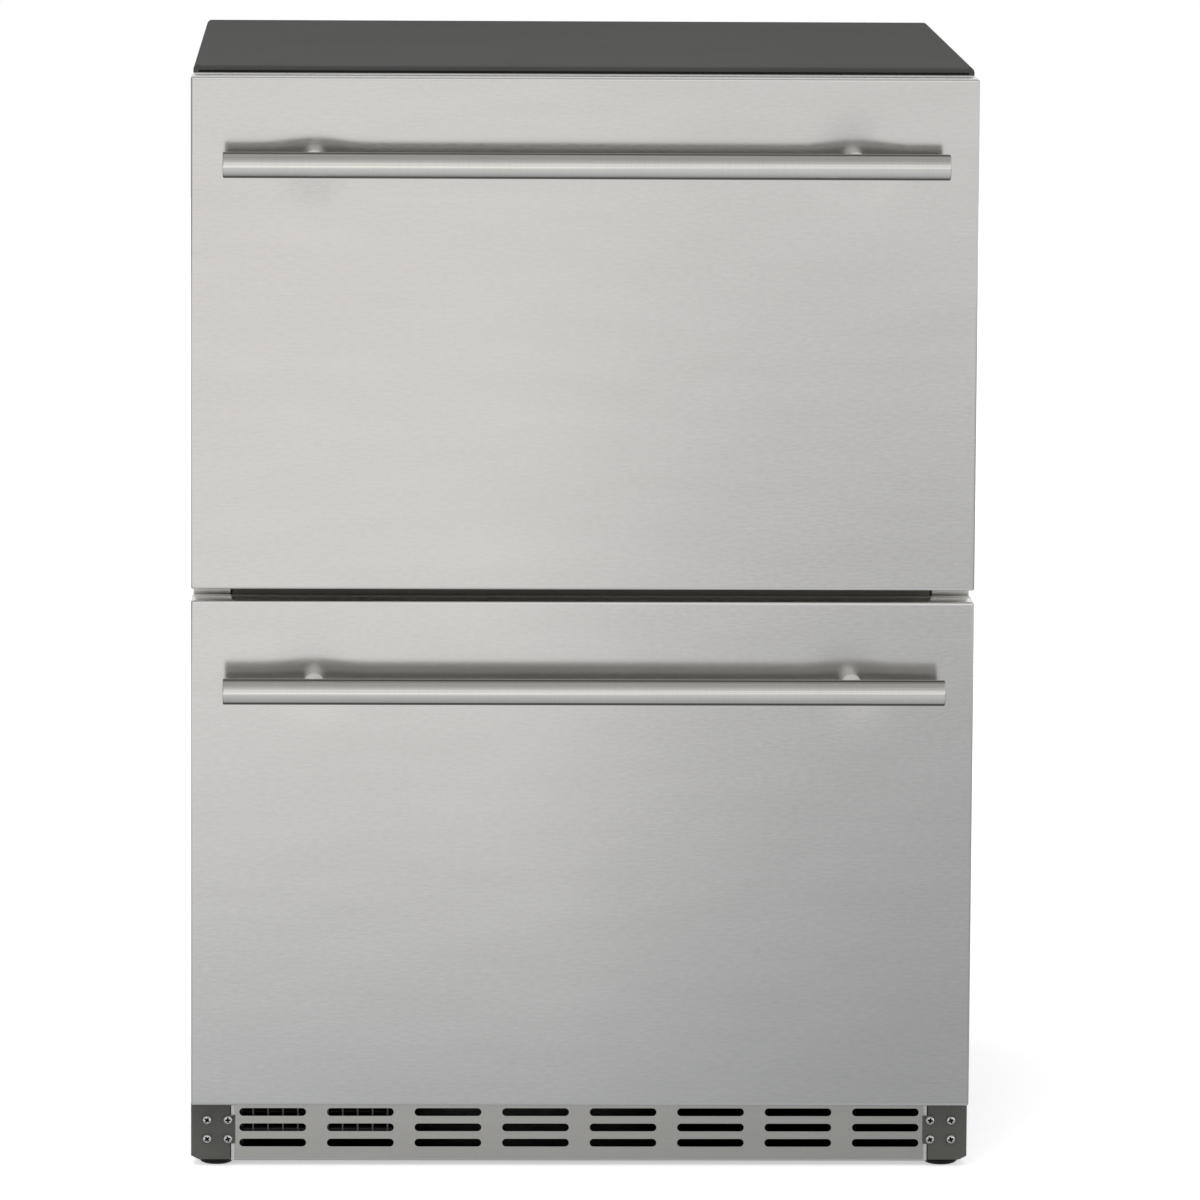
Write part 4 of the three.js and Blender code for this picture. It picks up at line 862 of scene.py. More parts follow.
for place in ("upper", "lower"):
    skinNode = f"{place}_door_skin"
    barX0, barX1, barY0, barY1, barZ0, barZ1 = boxOf(f"{place}_handle")
    r, end, inset = handle["radius"], handle["endRound"], handle["postInset"]
    posts = [(x, barZ0 + r) for x in (barX0 + inset, barX1 - inset)]

    x0, x1, y0, y1, z0, z1 = boxOf(skinNode)
    edge, sheet, hem = door["edge"], door["sheet"], door["hem"]
    skinLine = [(edge + 0.8, y0)]
    skinLine += [(edge * (1 - math.sin(a)), y0 + edge * (1 - math.cos(a))) for a in quarterTurn]
    skinLine += [(0, y1 - 0.9), (0, y1 - hem), (0.15, y1 - 0.15), (hem, y1), (sheet - 0.15, y1 - 0.15),
                 (sheet, y1 - 0.9), (sheet, y0 + edge), (edge, y0 + sheet)]
    skin = pressAlong(f"{place}DoorSkin", skinNode, "Y", skinLine, (door["corner"], 0.5, 0.6))
    dishSheet(skin, y0, posts, door["dish"][place])
    fitPiece(skin, "doorSteel", skinNode)
    # painted highlight: the top faces and the bends of the front edges take the paler copy of the sheet
    dressFaces(skin, "doorEdgeHighlight", lambda face: face.normal.z > 0.9 or (
        face.center.y / mm < y0 + edge and -0.995 < face.normal.y < -0.02 and
        abs(face.normal.z) > abs(face.normal.x)))

    front, back = boxOf(f"{place}_door_core")[2:4]
    neck = y1 + 0.3
    coreLine = [(1.3, front), (1.3, neck), (0.3, neck), (0.05, neck + 0.2), (0, neck + 0.6), (0, back - 2),
                (0.3, back - 1), (1, back - 0.3), (2, back), (3, back), (26, back), (26.8, back - 1.6),
                (29.2, back - 1.6), (30, back), (31, back)]
    fitPiece(pressAlong(f"{place}DoorLiner", skinNode, "Y", coreLine, (door["coreCorner"], 0, 0)),
             "doorPlastic", f"{place}_door_core")

    front = boxOf(f"{place}_door_gasket")[2]
    sealLine = [(inset, front + depth) for inset, depth in gasketLine]
    fitPiece(pressAlong(f"{place}DoorSeal", skinNode, "Y", sealLine, (door["gasketCorner"], 0, 0),
                        steps=2, closed=True), "gasketRubber", f"{place}_door_gasket")

    endLine = [(0, 0), (r - 2 * end, 0), (r - end, 0), (r - 0.45 * end, 0.12), (r - 0.12 * end, 0.45 * end),
               (r, end), (r, 2 * end)]
    barLine = [(radius, barX0 + depth) for radius, depth in endLine]
    barLine += [(radius, barX1 - depth) for radius, depth in reversed(endLine)]
    pieces = [turnShape("bar", "X", (barY0 + r, barZ0 + r), barLine, 64)]
    postR, foot, root = handle["postRadius"], handle["foot"], barY1 + door["dish"][place]
    postLine = [(0, barY0 + r), (postR, barY0 + r), (postR, root - 2.2), (postR + 0.15 * foot, root - 1.3),
                (postR + 0.5 * foot, root - 0.6), (postR + foot, root), (0, root)]
    pieces += [turnShape("post", "Y", post, postLine, 40) for post in posts]
    grip = fitPiece(joinPieces(f"{place}DoorHandle", pieces), "handleSteel", f"{place}_handle")
    if place == "lower":
        # painted light: the lower bar's upper back takes a paler copy of its finish, so that the door mirrors
        # it brighter
        dressFaces(grip, "paintedLightTubeTop", lambda face: face.normal.y > 0.05 and face.normal.z > 0)
    # painted shade: the faces of the bar that look back take a darker copy of its finish
    dressFaces(grip, "handleShadedBack", lambda face: face.normal.y > handle["shadedBackFrom"][place])
    behindBar, postX = barY0 + 1.8 * r, posts[1][0]
    dressFaces(grip, "postLacquer", lambda face: (
        face.center.y / mm > behindBar and abs(face.normal.y) < 0.9 and
        abs(abs(face.center.x / mm) - postX) < postR + 1))
print("doors built")

# kick grille: a slotted plate folded back at its head and foot, and a narrow strip, painted pale as a
# highlight, at each end
grille = {"slotLength": 52.2, "slotHeight": 6.2, "columns": 8, "rows": 3, "pitchX": 68.5, "pitchZ": 12.15,
          "lowRow": 18.35, "bend": 1.4, "sheet": 1.2, "topReturn": 18.0, "bottomReturn": 6.0, "drop": 1.4,
          "endWidth": 2.6, "endStand": 0.12, "endMargin": 0.3}
x0, x1, y0, y1, z0, z1 = boxOf("kick_grille")
z0 -= grille["drop"]
sheet, bend = grille["sheet"], grille["bend"]
plateLow, plateHigh = z0 + bend, z1 - bend
middleRow = grille["lowRow"] + grille["pitchZ"]
plate = punchSheet("grillePlate", x1 - x0, plateLow, plateHigh, y0 + sheet, sheet, grille,
                   middleRow - (plateLow + plateHigh) / 2, "grilleSteel")
foldBend = bend - 0.01  # a hair under the plate's margin, so that no two points of a fold fall together
topFold = foldSheet("topFold", "X", [(y0, plateHigh), (y0, z1), (y0 + grille["topReturn"], z1)], foldBend,
                    -sheet, (x0, x1))
bottomFold = foldSheet("bottomFold", "X", [(y0, plateLow), (y0, z0), (y0 + grille["bottomReturn"], z0)],
                       foldBend, sheet, (x0, x1))
halfEnd, halfZ = grille["endWidth"] / 2, (z1 - z0) / 2 - grille["endMargin"]
stand = grille["endStand"]
stripLine = [(halfEnd, halfZ, 0.3, y0 + 1), (halfEnd, halfZ, 0.3, y0),
             (halfEnd - stand, halfZ - stand, 0.3, y0 - stand)]
strips = [pressShape("strip", "Y", (side * (x1 - halfEnd), (z0 + z1) / 2), stripLine) for side in (-1, 1)]
grillePiece = fitPiece(joinPieces("kickGrille", [plate, topFold, bottomFold] + strips), "grilleSteel",
                       "kick_grille")
stripStart = x1 - grille["endWidth"] - 0.01
# painted highlight: the end strips and the foot of the plate's front take the pale copy of the sheet
dressFaces(grillePiece, "grilleEdgeHighlight", lambda face: face.center.y / mm < y0 + 0.8 and (
    abs(face.center.x) / mm > stripStart or z0 + 0.6 < face.center.z / mm < plateLow))

bracket = {"ease": 0.5, "under": 5.5, "cutTop": 13.5, "newCutTop": 8.5, "newCutX": 297.5, "innerX": 290.0}


# The cut at a bracket's low outer corner, made shallow.
def flattenCut(x, y, z):
    if abs(z - bracket["cutTop"]) < 0.1:
        z = bracket["newCutTop"]
    elif abs(z - bracket["under"]) < 0.1 and abs(x) > bracket["innerX"]:
        x = math.copysign(bracket["newCutX"], x)
    return x, y, z


for place in ("left", "right"):
    fitPiece(easedCopy(f"foot_bracket_{place}", f"{place}FootBracket", bracket["ease"], reshape=flattenCut),
             "bracketPaint", f"foot_bracket_{place}")

bracketScrew = {"head": 3.75, "height": 2.2, "seed": 11}
screwNodes = [f"bracket_screw_{place}_{k}" for place in ("left", "right") for k in (1, 2, 3, 4)]
screwBoxes = [boxOf(node) for node in screwNodes]
setScrews("bracketScrews", bracketScrew, -1, [
    ((x0 + x1) / 2, y0 + bracketScrew["height"], (z0 + z1) / 2) for x0, x1, y0, y1, z0, z1 in screwBoxes],
    *screwNodes)

# painted shade: the base pan is coloured nearly black, as the shade seen through the grille's slots
fitPiece(easedCopy("base_pan", "basePan", 0.3), "panZinc", "base_pan", slot="zinc_sheet")

# feet: a cupped pad on a threaded stem
foot = {"padTop": 6.7, "padRadius": 14.0, "padBottom": 8.5, "padRim": 2.0, "stem": 5.0, "threadDepth": 0.6,
        "pitch": 1.75, "threadStart": 0.4}
for place in ("front_left", "front_right", "rear_left", "rear_right"):
    x0, x1, y0, y1, z0, z1 = boxOf(f"leveling_leg_{place}")
    top, wide, low = foot["padTop"], foot["padRadius"], foot["padBottom"]
    rim, root = top - foot["padRim"], foot["stem"] - foot["threadDepth"]
    line = [(0, 0), (low, 0)]
    line += [(low + (wide - low) * math.sin(a), rim * (1 - math.cos(a))) for a in quarterTurn[1:-1]]
    line += [(wide, rim), (wide, top - 0.7), (wide - 0.3, top - 0.2), (wide - 0.9, top), (root, top)]
    level = top + foot["threadStart"]
    while level < z1 - foot["pitch"]:
        line += [(foot["stem"], level + foot["pitch"] * 0.4), (root, level + foot["pitch"] * 0.9)]
        level += foot["pitch"]
    line += [(foot["stem"] - 1, z1), (0, z1)]
    leg = turnShape("foot" + place.title().replace("_", ""), "Z", ((x0 + x1) / 2, (y0 + y1) / 2), line, 32)
    fitPiece(leg, "blackPlastic", f"leveling_leg_{place}")
print("base built")

# compressor: a welded pot on a foot plate, with rubber grommets, a port for the line and a terminal box
pump = {"x": 120.0, "y": 215.0, "radius": 78.0, "base": 17.5, "top": 184.5, "plateX": 1.15, "plateY": 0.8,
        "plateCorner": 12.0, "plate": 3.6, "portRadius": 4.0, "portX": 36.0, "portZ": 131.7, "box": 22.0}
x0, x1, y0, y1, z0, z1 = boxOf("compressor")
pumpX, pumpY, r, low = pump["x"], pump["y"], pump["radius"], pump["base"]
seam = (low + pump["top"]) / 2
potLine = [(0, low + 3), (r * 0.7, low + 3), (r * 0.86, low + 6), (r * 0.93, low + 14), (r * 0.95, low + 26),
           (r * 0.95, seam - 4), (r, seam - 4), (r, seam - 1), (r * 0.975, seam), (r, seam + 1),
           (r, seam + 4), (r * 0.95, seam + 4), (r * 0.95, seam + 34), (r * 0.93, seam + 50),
           (r * 0.86, seam + 64), (r * 0.72, seam + 74), (r * 0.5, seam + 80), (r * 0.25, seam + 82.8),
           (0, pump["top"])]
plateX, plateY, plateTop = r * pump["plateX"], r * pump["plateY"], low + pump["plate"]
corner = pump["plateCorner"]
plateLine = [(0.5, low), (0, low + 0.5), (0, plateTop - 0.5), (0.5, plateTop)]
grommetX, grommetY = plateX - corner, plateY - corner
grommetLine = [(4, 0), (9, 0), (10, 1), (10, 3), (8, 4), (8, 6), (10, 7), (10, 8.5), (9, 9.5), (4, 9.5)]
grommets = turnShape("grommets", "Z", (pumpX - grommetX, pumpY - grommetY),
                     [(radius, z0 + rise) for radius, rise in grommetLine], 24)
for step in ((2 * grommetX * mm, 0, 0), (0, 2 * grommetY * mm, 0)):
    runTree(grommets, rowTree, {"Count": 2, "Step": step, "Finish": finishes["blackEnamel"]})
box, boxStart = pump["box"], pumpX + r * 0.7
boxLine = [(0, 3, boxStart), (0, 3, x1 - 2), (0.6, 3, x1 - 0.6), (2, 3, x1), (4, 3, x1)]
pieces = [
    turnShape("pot", "Z", (pumpX, pumpY), potLine, 64),
    pressShape("footPlate", "Z", (pumpX, pumpY), [
        (plateX - inset, plateY - inset, corner, z) for inset, z in plateLine]),
    grommets,
    bendTube("port", [(pumpX - r * 0.7, pumpY, pump["portZ"]), (pump["portX"], pumpY, pump["portZ"])],
             pump["portRadius"], 0),
    pressShape("terminalBox", "X", (pumpY, seam + 4 + box), [
        (box - inset, box - inset, radius, x) for inset, radius, x in boxLine])]
fitPiece(joinPieces("compressorPot", pieces), "blackEnamel", "compressor")

# condenser: two snaking tubes between end plates, and a row of wires in front
coil = {"wire": 0.9, "wires": 12, "wirePitch": 11.7, "wireSet": 3.0, "wireLow": 22.2, "tube": 3.0,
        "tubeBend": 3.6, "tubeSet": 6.0, "tubeGap": 26.0, "runs": (0.15, 0.5, 0.85), "plate": 1.2,
        "plateBend": 1.5, "plateLip": 5.0}
x0, x1, y0, y1, z0, z1 = boxOf("condenser_coil")
left, right, wire, wireLow = x0 + 1, x1 - 1, coil["wire"], coil["wireLow"]
wires = turnShape("condenserWireRow", "Z", (left, y0 + coil["wireSet"]), [
    (wire * 0.6, wireLow), (wire, wireLow + 0.4), (wire, z1 - 0.4), (wire * 0.6, z1)], 8)
runTree(wires, rowTree, {
    "Count": coil["wires"], "Step": (coil["wirePitch"] * mm, 0, 0), "Finish": finishes["wireZinc"]})
low, middle, high = (wireLow + share * (z1 - wireLow) for share in coil["runs"])
pieces = [bendTube("condenserTube", [(left, y, low), (right, y, low), (right, y, middle), (left, y, middle),
                                     (left, y, high), (right, y, high)], coil["tube"], coil["tubeBend"])
          for y in (y0 + coil["tubeSet"], y0 + coil["tubeSet"] + coil["tubeGap"])]
for x, inward in ((x0, 1), (x1, -1)):
    lipX = x + inward * coil["plateLip"]
    pieces.append(foldSheet("endPlate", "Z", [(lipX, y0), (x, y0), (x, y1), (lipX, y1)], coil["plateBend"],
                            -inward * coil["plate"], (z0, z1)))
fitPiece(joinPieces("condenserCoil", pieces), "blackEnamel", "condenser_coil")
fitPiece(wires, "wireZinc", body="cabinet", slot="zinc_sheet")

# condenser fan: a motor can on a folded stand, and a bladed rotor on its shaft
motor = {"x": -150.0, "z": 120.0, "radius": 30.0, "front": 175.0, "standSet": 4.4, "standReach": 25.0,
         "standSheet": 3.0, "standBend": 4.0, "standInset": 6.0}
x0, x1, y0, y1, z0, z1 = boxOf("condenser_fan_motor")
r, front = motor["radius"], motor["front"]
canLine = [(0, front), (9, front), (9, front + 1.5), (r * 0.75, front + 2), (r - 1, front + 5),
           (r, front + 7), (r, front + 18), (r - 1.2, front + 19), (r - 1.2, front + 25), (r, front + 26),
           (r, y1 - 7), (r - 1, y1 - 5), (r * 0.7, y1 - 1), (0, y1)]
shaftLine = [(0, y0), (2.4, y0), (3, y0 + 0.6), (3, front + 1), (0, front + 1)]
standBack = y1 - motor["standSet"]
standPath = [(standBack - motor["standReach"], z0), (standBack, z0), (standBack, motor["z"])]
stand = foldSheet("stand", "X", standPath, motor["standBend"], motor["standSheet"],
                  (x0 + motor["standInset"], x1 - motor["standInset"]))
pieces = [turnShape("motorCan", "Y", (motor["x"], motor["z"]), canLine, 40),
          turnShape("shaft", "Y", (motor["x"], motor["z"]), shaftLine, 20), easeEdges(stand, 0.4)]
fitPiece(joinPieces("condenserFanMotor", pieces), "zincSheet", "condenser_fan_motor")


# One fan blade: a thin curved section that twists and sweeps from hub to tip. The fan turns about Y.
def makeBlade(name, fan):
    rows, across = 8, 6  # faces along the blade and across it
    rings, start = [], fan["hub"] * 0.8  # its root lies inside the hub
    section = [(u / across, 1) for u in range(across + 1)] + [(u / across, -1) for u in range(across, -1, -1)]
    for row in range(rows + 1):
        share = row / rows
        radius = start + share * (fan["tip"] - start)
        pitch = math.radians(fan["rootPitch"] + share * (fan["tipPitch"] - fan["rootPitch"]))
        chord = min(fan["chord"] * (0.72 + 0.45 * share), fan["depth"] / math.sin(pitch))
        sweep = math.radians(fan["sweep"]) * share ** 1.5
        ring = []
        for u, side in section:
            thin = fan["sheet"] / 2 * math.sqrt(max(0.08, 1 - (2 * u - 1) ** 4))
            s, t = (u - 0.5) * chord, side * thin + fan["camber"] * (1 - (2 * u - 1) ** 2)
            angle = (s * math.cos(pitch) - t * math.sin(pitch)) / radius + sweep
            ring.append((radius * math.cos(angle), s * math.sin(pitch) + t * math.cos(pitch),
                         radius * math.sin(angle)))
        rings.append(ring)
    return linkRings(name, rings)


def makeFan(name, node, fan):
    x0, x1, y0, y1, z0, z1 = boxOf(node)
    (x, z), hub, bore = fan["centre"], fan["hub"], fan["bore"]
    blades = runTree(makeBlade(name + "Blades", fan), roundTree, {
        "Count": fan["blades"], "Axis": (0.0, 1.0, 0.0), "Centre": (x * mm, (y0 + y1) / 2 * mm, z * mm),
        "Finish": finishes["blackPlastic"]})
    hubLine = [(bore, y0), (hub * 0.7, y0), (hub * 0.92, y0 + 0.8), (hub, y0 + 2.5), (hub, y1 - 1),
               (hub - 0.8, y1), (bore, y1)]
    rotor = joinPieces(name, [blades, turnShape(name + "Hub", "Y", (x, z), hubLine, 32, closed=True)])
    fitPiece(rotor, "blackPlastic", node)


condenserFan = {"centre": (motor["x"], motor["z"]), "hub": 18, "bore": 3.3, "tip": 71.5, "blades": 5,
                "rootPitch": 38, "tipPitch": 22, "chord": 42, "depth": 18, "sweep": 16, "sheet": 1.6,
                "camber": 2.2}
makeFan("condenserFan", "condenser_fan_blade", condenserFan)

# drain tray: a deep pressing with a rolled rim
z0, z1 = boxOf("drain_pan")[4:]
trayLine = [(5, z0), (3, z0), (1.8, z0 + 0.6), (1.2, z0 + 2), (1, z0 + 24), (0, z0 + 25), (0, z1 - 0.6),
            (0.5, z1), (1.6, z1), (2.1, z1 - 0.6), (2.8, z0 + 4), (4, z0 + 2.4), (6, z0 + 2), (8, z0 + 2)]
fitPiece(pressAlong("drainTray", "drain_pan", "Z", trayLine, (9, 0.6, 3), 5), "greyPlastic", "drain_pan")

# mains gland: a sleeve through the cover, held by a six-sided nut
gland = {"bore": 4.0, "sleeve": 8.0, "nut": 13.0, "nutY": 324.8, "nutDepth": 3.0}
x0, x1, y0, y1, z0, z1 = boxOf("mains_gland")
centre = ((x0 + x1) / 2, (z0 + z1) / 2)
bore, sleeve, nut, near = gland["bore"], gland["sleeve"], gland["nut"], gland["nutY"]
far = near + gland["nutDepth"]
sleeveLine = [(bore, y0), (sleeve - 0.6, y0), (sleeve, y0 + 0.6), (sleeve, y1 - 4), (sleeve - 0.8, y1 - 1.4),
              (bore + 1.6, y1), (bore, y1)]
nutLine = [(sleeve, near), (nut - 0.8, near), (nut, near + 0.8), (nut, far - 0.8), (nut - 0.8, far),
           (sleeve, far)]
pieces = [turnShape("glandSleeve", "Y", centre, sleeveLine, 32, closed=True),
          turnShape("glandNut", "Y", centre, nutLine, 6, closed=True)]
fitPiece(joinPieces("mainsGland", pieces), "blackPlastic", "mains_gland")

# refrigerant line: from the compressor's port, up behind the liner and in to the evaporator
pipe = {"radius": 4.0, "bend": 9.0, "x": 10.0, "backY": 319.25, "topZ": 672.0, "endY": 285.7, "endZ": 660.3}
portX, portZ, pipeX, backY, topZ = pump["portX"], pump["portZ"], pipe["x"], pipe["backY"], pipe["topZ"]
pipeLine = [(portX, pumpY, portZ), (pipeX, pumpY, portZ), (pipeX, backY, portZ), (pipeX, backY, topZ),
            (pipeX, pipe["endY"], topZ), (pipeX, pipe["endY"], pipe["endZ"])]
fitPiece(bendTube("refrigerantLine", pipeLine, pipe["radius"], pipe["bend"]), "lineCopper",
         "refrigerant_line")
print("machine compartment built")

# evaporator: three runs of tube through a row of folded fins
fins = {"left": -130.0, "right": 130.0, "count": 44, "sheet": 0.5, "lip": 1.6, "bend": 0.7, "tube": 4.0,
        "tubeBend": 12.0, "runs": 3, "runInset": 4.0, "riserX": 10.0}
x0, x1, y0, y1, z0, z1 = boxOf("evaporator_coil")
lipX = fins["left"] + fins["lip"]
finRow = foldSheet("finSheet", "Z", [(lipX, y0), (fins["left"], y0), (fins["left"], y1), (lipX, y1)],
                   fins["bend"], -fins["sheet"], (z0, z1))
runTree(finRow, rowTree, {"Count": fins["count"], "Finish": finishes["coilAluminium"],
                          "Step": ((fins["right"] - lipX) / (fins["count"] - 1) * mm, 0, 0)})
midY, rise = (y0 + y1) / 2, (z1 - z0) / fins["runs"]
coilPoints = []
for k in range(fins["runs"]):
    ends = [(x, midY, z0 + (k + 0.5) * rise) for x in (x0 + fins["runInset"], x1 - fins["runInset"])]
    coilPoints += reversed(ends) if k % 2 else ends
riser = [(fins["riserX"], midY, coilPoints[-1][2]), (fins["riserX"], midY, z1)]
pieces = [finRow, bendTube("coilTube", coilPoints, fins["tube"], fins["tubeBend"]),
          bendTube("coilRiser", riser, fins["tube"], 0)]
fitPiece(joinPieces("coolingCoil", pieces), "coilAluminium", "evaporator_coil")

# evaporator fan behind its cover
x0, x1, y0, y1, z0, z1 = boxOf("evaporator_fan_motor")
coolerMotor = {"front": 273.7, "shaft": 2.5}
r, front, shaft = (x1 - x0) / 2, coolerMotor["front"], coolerMotor["shaft"]
coolerLine = [(0, y0), (shaft - 0.5, y0), (shaft, y0 + 0.5), (shaft, front), (r - 3, front),
              (r - 0.8, front + 1), (r, front + 3), (r, y1 - 6), (r - 1, y1 - 5.6), (r - 1, y1), (0, y1)]
fitPiece(turnShape("coolerFanMotor", "Y", (0, (z0 + z1) / 2), coolerLine, 40), "greyPlastic",
         "evaporator_fan_motor")
coolerFan = {"centre": (0, 735), "hub": 12, "bore": 2.8, "tip": 39.5, "blades": 5, "rootPitch": 36,
             "tipPitch": 22, "chord": 25, "depth": 8.6, "sweep": 14, "sheet": 1.3, "camber": 1.0}
makeFan("coolerFan", "evaporator_fan_blade", coolerFan)
fitPiece(easedCopy("evaporator_cover", "coolerCover", 0.8), "linerPlastic", "evaporator_cover")

# controls: housing, lamp lens and two buttons
fitPiece(easedCopy("control_housing", "controlHousing", 0.7), "greyPlastic", "control_housing")
z0, z1 = boxOf("light_lens")[4:]
lensLine = [(4, z0), (2.6, z0 + 0.15), (1.9, z0 + 0.8), (1.8, z0 + 2.9), (0, z0 + 2.9), (0, z1 - 0.3),
            (0.4, z1)]
fitPiece(pressAlong("lampLens", "light_lens", "Z", lensLine, (2.2, 0, 0)), "lensPlastic", "light_lens")
for k in (1, 2):
    node = f"control_button_{k}"
    z0, z1 = boxOf(node)[4:]
    buttonLine = [(5, z0 + 0.25), (3.2, z0), (2.4, z0 + 0.2), (1.8, z0 + 0.9), (1.8, z1 - 1.6), (0, z1 - 1.6),
                  (0, z1 - 0.5), (0.6, z1)]
    fitPiece(pressAlong(f"pushButton{k}", node, "Z", buttonLine, (1.5, 0, 0), 4), "buttonPlastic", node)
print("cooling and controls built")

# drawers: a pressed tub with a rolled rim, and three nested channels at each side
tub = {"sheet": 1.5, "corner": 14.0, "floorBend": 6.0, "rimOut": 2.0, "rimDrop": 7.0}
runner = {"sheet": 1.2, "bend": 1.3, "ease": 0.2}
for place in ("upper", "lower"):
    z0, z1 = boxOf(f"{place}_bin")[4:]
    out, b, t = tub["rimOut"], tub["floorBend"], tub["sheet"]
    drop, inner = z1 - tub["rimDrop"], out + t
    curve = [math.radians(18 * k) for k in range(6)]
    tubLine = [(out + b + 1, z0)] + [(out + b * (1 - math.sin(a)), z0 + b * (1 - math.cos(a))) for a in curve]
    tubLine += [(out, drop - 1), (out * 0.85, drop), (out * 0.2, drop + 1), (0, drop + 2.2), (0, z1 - 1),
                (0.3, z1 - 0.3), (1, z1), (inner - 0.6, z1), (inner - 0.1, z1 - 0.4), (inner, z1 - 1.2),
                (inner, z0 + b)]
    tubLine += [(inner + (b - t) * (1 - math.cos(a)), z0 + b - (b - t) * math.sin(a)) for a in curve[1:]]
    tubLine.append((out + b + 1, z0 + t))
    fitPiece(pressAlong(f"{place}DrawerBin", f"{place}_bin", "Z", tubLine, (tub["corner"], 0.7, 4), 6),
             "binSteel", f"{place}_bin")

    for side in ("left", "right"):
        for stage in ("outer", "middle", "inner"):
            node = f"{place}_runner_{stage}_{side}"
            x0, x1, y0, y1, z0, z1 = boxOf(node)
            # the web stands by the liner's wall, but the inner channel's by the tub
            web, lipX = (x0, x1) if (side == "left") != (stage == "inner") else (x1, x0)
            channel = foldSheet(f"{place}{stage.title()}Runner{side.title()}", "Y",
                                [(lipX, z0), (web, z0), (web, z1), (lipX, z1)], runner["bend"],
                                math.copysign(runner["sheet"], web - lipX), (y0, y1))
            fitPiece(easeEdges(channel, runner["ease"]), "runnerZinc", node)
print("drawers built")

# A camera sees the pale floor as white with a soft shadow. In metal the floor shows a painted glow instead: a
# steep look shows its white, dimmed close before the door by a painted shadow of the object, and a flat look
# the dimmer room beyond it, a painted shade which falls off towards the object and reaches further at the
# right.
stage = {"paint": 0.9, "lift": 0.52, "doorY": -0.28, "far": 1.09, "steep": 0.68, "shadow": 0.45,
         "shadowReach": 0.5, "reachX": (0.0, 0.5), "reach": (2.05, 7.95), "shadeX": (-0.4, 0.3),
         "shade": (0.435, 0.64), "farTint": "#fffdfb", "nearTint": "#f8fbff", "halfWidth": 9000,
         "front": -18000, "back": 9000}


def stageMaterial():
    material = bpy.data.materials.new("paleStudioFloor")
    material.use_nodes = True
    tree = material.node_tree
    tree.nodes.clear()
    rays = addNode(tree, "ShaderNodeLightPath")
    lit = addNode(tree, "ShaderNodeBsdfDiffuse", {"Color": (stage["paint"],) * 3 + (1,), "Roughness": 0.5})
    lift = addNode(tree, "ShaderNodeMath", {0: rays.outputs["Is Camera Ray"], 1: stage["lift"]},
                   operation="MULTIPLY")
    white = addNode(tree, "ShaderNodeEmission", {"Strength": lift})
    plain = addNode(tree, "ShaderNodeAddShader", {0: lit, 1: white})
    place = addNode(tree, "ShaderNodeTexCoord")
    parts = addNode(tree, "ShaderNodeSeparateXYZ", {"Vector": place.outputs["Object"]})
    depth = addNode(tree, "ShaderNodeMath", {0: stage["doorY"], 1: parts.outputs["Y"]}, operation="SUBTRACT")
    reach, shade = (addNode(tree, "ShaderNodeMapRange", {
        "Value": parts.outputs["X"], "From Min": stage[key + "X"][0], "From Max": stage[key + "X"][1],
        "To Min": stage[key][0], "To Max": stage[key][1]}) for key in ("reach", "shade"))
    share = addNode(tree, "ShaderNodeMath", {0: depth, 1: reach}, operation="DIVIDE")
    still = addNode(tree, "ShaderNodeMath", {0: share, 1: -1.0}, operation="MULTIPLY")
    decay = addNode(tree, "ShaderNodeMath", {0: still}, operation="EXPONENT", use_clamp=True)
    slant = addNode(tree, "ShaderNodeLayerWeight", {"Blend": 0.5})
    flat = addNode(tree, "ShaderNodeMapRange", {
        "Value": slant.outputs["Facing"], "From Min": 0.55, "From Max": 0.8}, interpolation_type="SMOOTHSTEP")
    loss = addNode(tree, "ShaderNodeMath", {0: decay, 1: shade}, operation="MULTIPLY")
    bright = addNode(tree, "ShaderNodeMath", {0: stage["far"], 1: loss}, operation="SUBTRACT", use_clamp=True)
    closeBy = addNode(tree, "ShaderNodeMath", {0: depth, 1: -1 / stage["shadowReach"]}, operation="MULTIPLY")
    fading = addNode(tree, "ShaderNodeMath", {0: closeBy}, operation="EXPONENT", use_clamp=True)
    steep = addNode(tree, "ShaderNodeMapRange", {
        "Value": fading, "To Min": stage["steep"], "To Max": stage["steep"] * (1 - stage["shadow"])})
    level = addNode(tree, "ShaderNodeMix", {0: flat, 2: steep, 3: bright})
    tint = addNode(tree, "ShaderNodeMix", {
        0: decay, 6: linearColour(stage["farTint"]), 7: linearColour(stage["nearTint"])}, data_type="RGBA")
    mirrored = addNode(tree, "ShaderNodeEmission", {"Color": tint, "Strength": level})
    surface = addNode(tree, "ShaderNodeMixShader", {0: rays.outputs["Is Glossy Ray"], 1: plain, 2: mirrored})
    addNode(tree, "ShaderNodeOutputMaterial", {"Surface": surface})
    return material


wide, front, back = stage["halfWidth"], stage["front"], stage["back"]
floor = makeObject("studioFloor", [(-wide, front, 0), (wide, front, 0), (wide, back, 0), (-wide, back, 0)],
                   [[0, 1, 2, 3]])
floor.data.materials.append(stageMaterial())

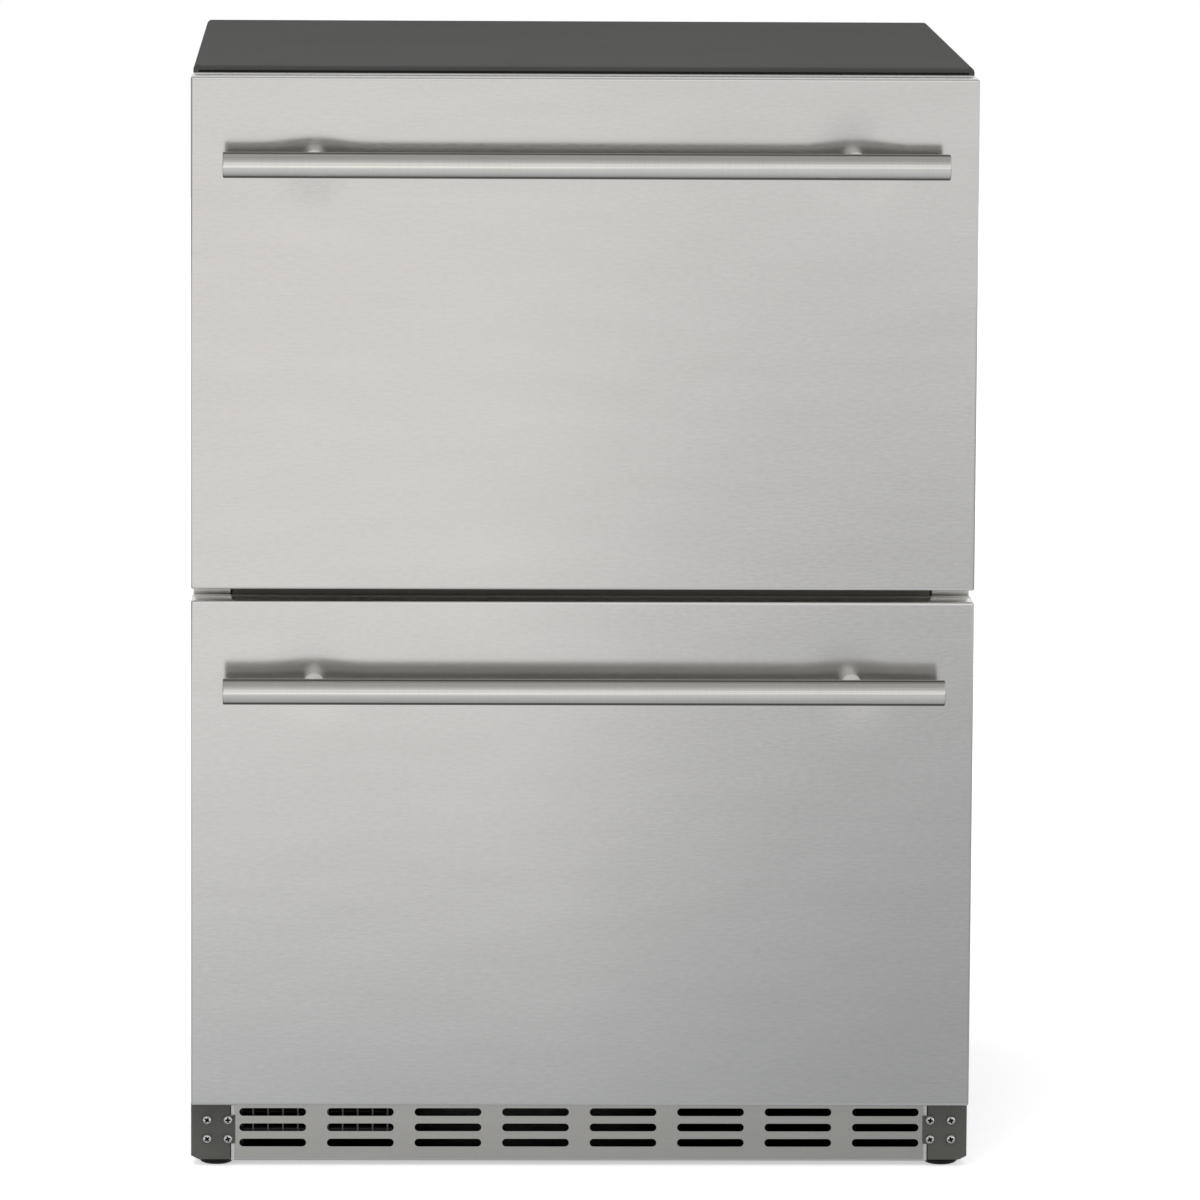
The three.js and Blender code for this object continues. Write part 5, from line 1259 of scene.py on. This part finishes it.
# The room lights evenly. In metal it darkens with height, with a strip light along the wall, which is a thin
# line in the round bars, and a dark card at the left, which draws the edges there.
studio = {"ambient": 0.75, "horizon": 0.88, "ceiling": 0.37, "fadeTo": 0.95, "strip": 0.5,
          "stripHeight": 0.355, "stripCore": 0.01, "stripEdge": 0.03, "card": 0.4, "cardX": (-0.9, -0.4)}
world = bpy.data.worlds.new("studioWorld")
scene.world = world
world.use_nodes = True
room = world.node_tree
room.nodes.clear()
rays = addNode(room, "ShaderNodeLightPath").outputs
heading = addNode(room, "ShaderNodeTexCoord")
parts = addNode(room, "ShaderNodeSeparateXYZ", {"Vector": heading.outputs["Generated"]}).outputs
walls = addNode(room, "ShaderNodeMapRange", {
    "Value": parts["Z"], "From Min": 0.0, "From Max": studio["fadeTo"],
    "To Min": studio["horizon"], "To Max": studio["ceiling"]})
above = addNode(room, "ShaderNodeMath", {0: parts["Z"], 1: studio["stripHeight"]}, operation="SUBTRACT")
away = addNode(room, "ShaderNodeMath", {0: above}, operation="ABSOLUTE")
strip = addNode(room, "ShaderNodeMapRange", {
    "Value": away, "From Min": studio["stripCore"], "From Max": studio["stripEdge"],
    "To Min": studio["strip"], "To Max": 0.0})
litWalls = addNode(room, "ShaderNodeMath", {0: walls, 1: strip}, operation="ADD")
card = addNode(room, "ShaderNodeMapRange", {
    "Value": parts["X"], "From Min": studio["cardX"][0], "From Max": studio["cardX"][1],
    "To Min": studio["card"], "To Max": 1.0})
around = addNode(room, "ShaderNodeMath", {0: litWalls, 1: card}, operation="MULTIPLY")
mirrored = addNode(room, "ShaderNodeMix", {0: rays["Is Glossy Ray"], 2: studio["ambient"], 3: around})
seen = addNode(room, "ShaderNodeMath", {0: rays["Is Camera Ray"], 1: rays["Is Transmission Ray"]},
               operation="MAXIMUM")
level = addNode(room, "ShaderNodeMix", {0: seen, 2: mirrored, 3: 1.0})
glow = addNode(room, "ShaderNodeBackground", {"Color": (1, 1, 1, 1), "Strength": level})
addNode(room, "ShaderNodeOutputWorld", {"Surface": glow})

softbox = {"place": (-0.6, -1.4, 3.2), "target": (0, 0, 0.4), "size": (2.4, 2.0), "power": 33}
light = bpy.data.lights.new("overheadSoftbox", "AREA")
light.shape = "RECTANGLE"
light.size, light.size_y = softbox["size"]
light.energy = softbox["power"]
lamp = linkObject("overheadSoftbox", light)
lamp.location = softbox["place"]
lamp.rotation_euler = (Vector(softbox["target"]) - lamp.location).to_track_quat("-Z", "Y").to_euler()
lamp.visible_glossy = False  # it lights, but leaves no patch in the metal

view = {"place": (-0.16525, -6.85257, 1.30019), "yaw": 1.5534, "pitch": 7.3616, "roll": 0.3346,
        "lens": 257.357}
yaw, pitch, roll = (math.radians(view[key]) for key in ("yaw", "pitch", "roll"))
ahead = Vector((math.sin(yaw) * math.cos(pitch), math.cos(yaw) * math.cos(pitch), -math.sin(pitch)))
rightward = ahead.cross(Vector((0, 0, 1))).normalized()
upward = rightward.cross(ahead)
tiltedRight = math.cos(roll) * rightward + math.sin(roll) * upward
tiltedUp = -math.sin(roll) * rightward + math.cos(roll) * upward
lens = bpy.data.cameras.new("studioCamera")
lens.lens = view["lens"]
lens.sensor_width = 36
lens.clip_end = 100
camera = linkObject("studioCamera", lens)
camera.matrix_world = Matrix((tiltedRight, tiltedUp, -ahead)).transposed().to_4x4()
camera.location = view["place"]
scene.camera = camera
scene.view_settings.view_transform = "Standard"
print("stage built")
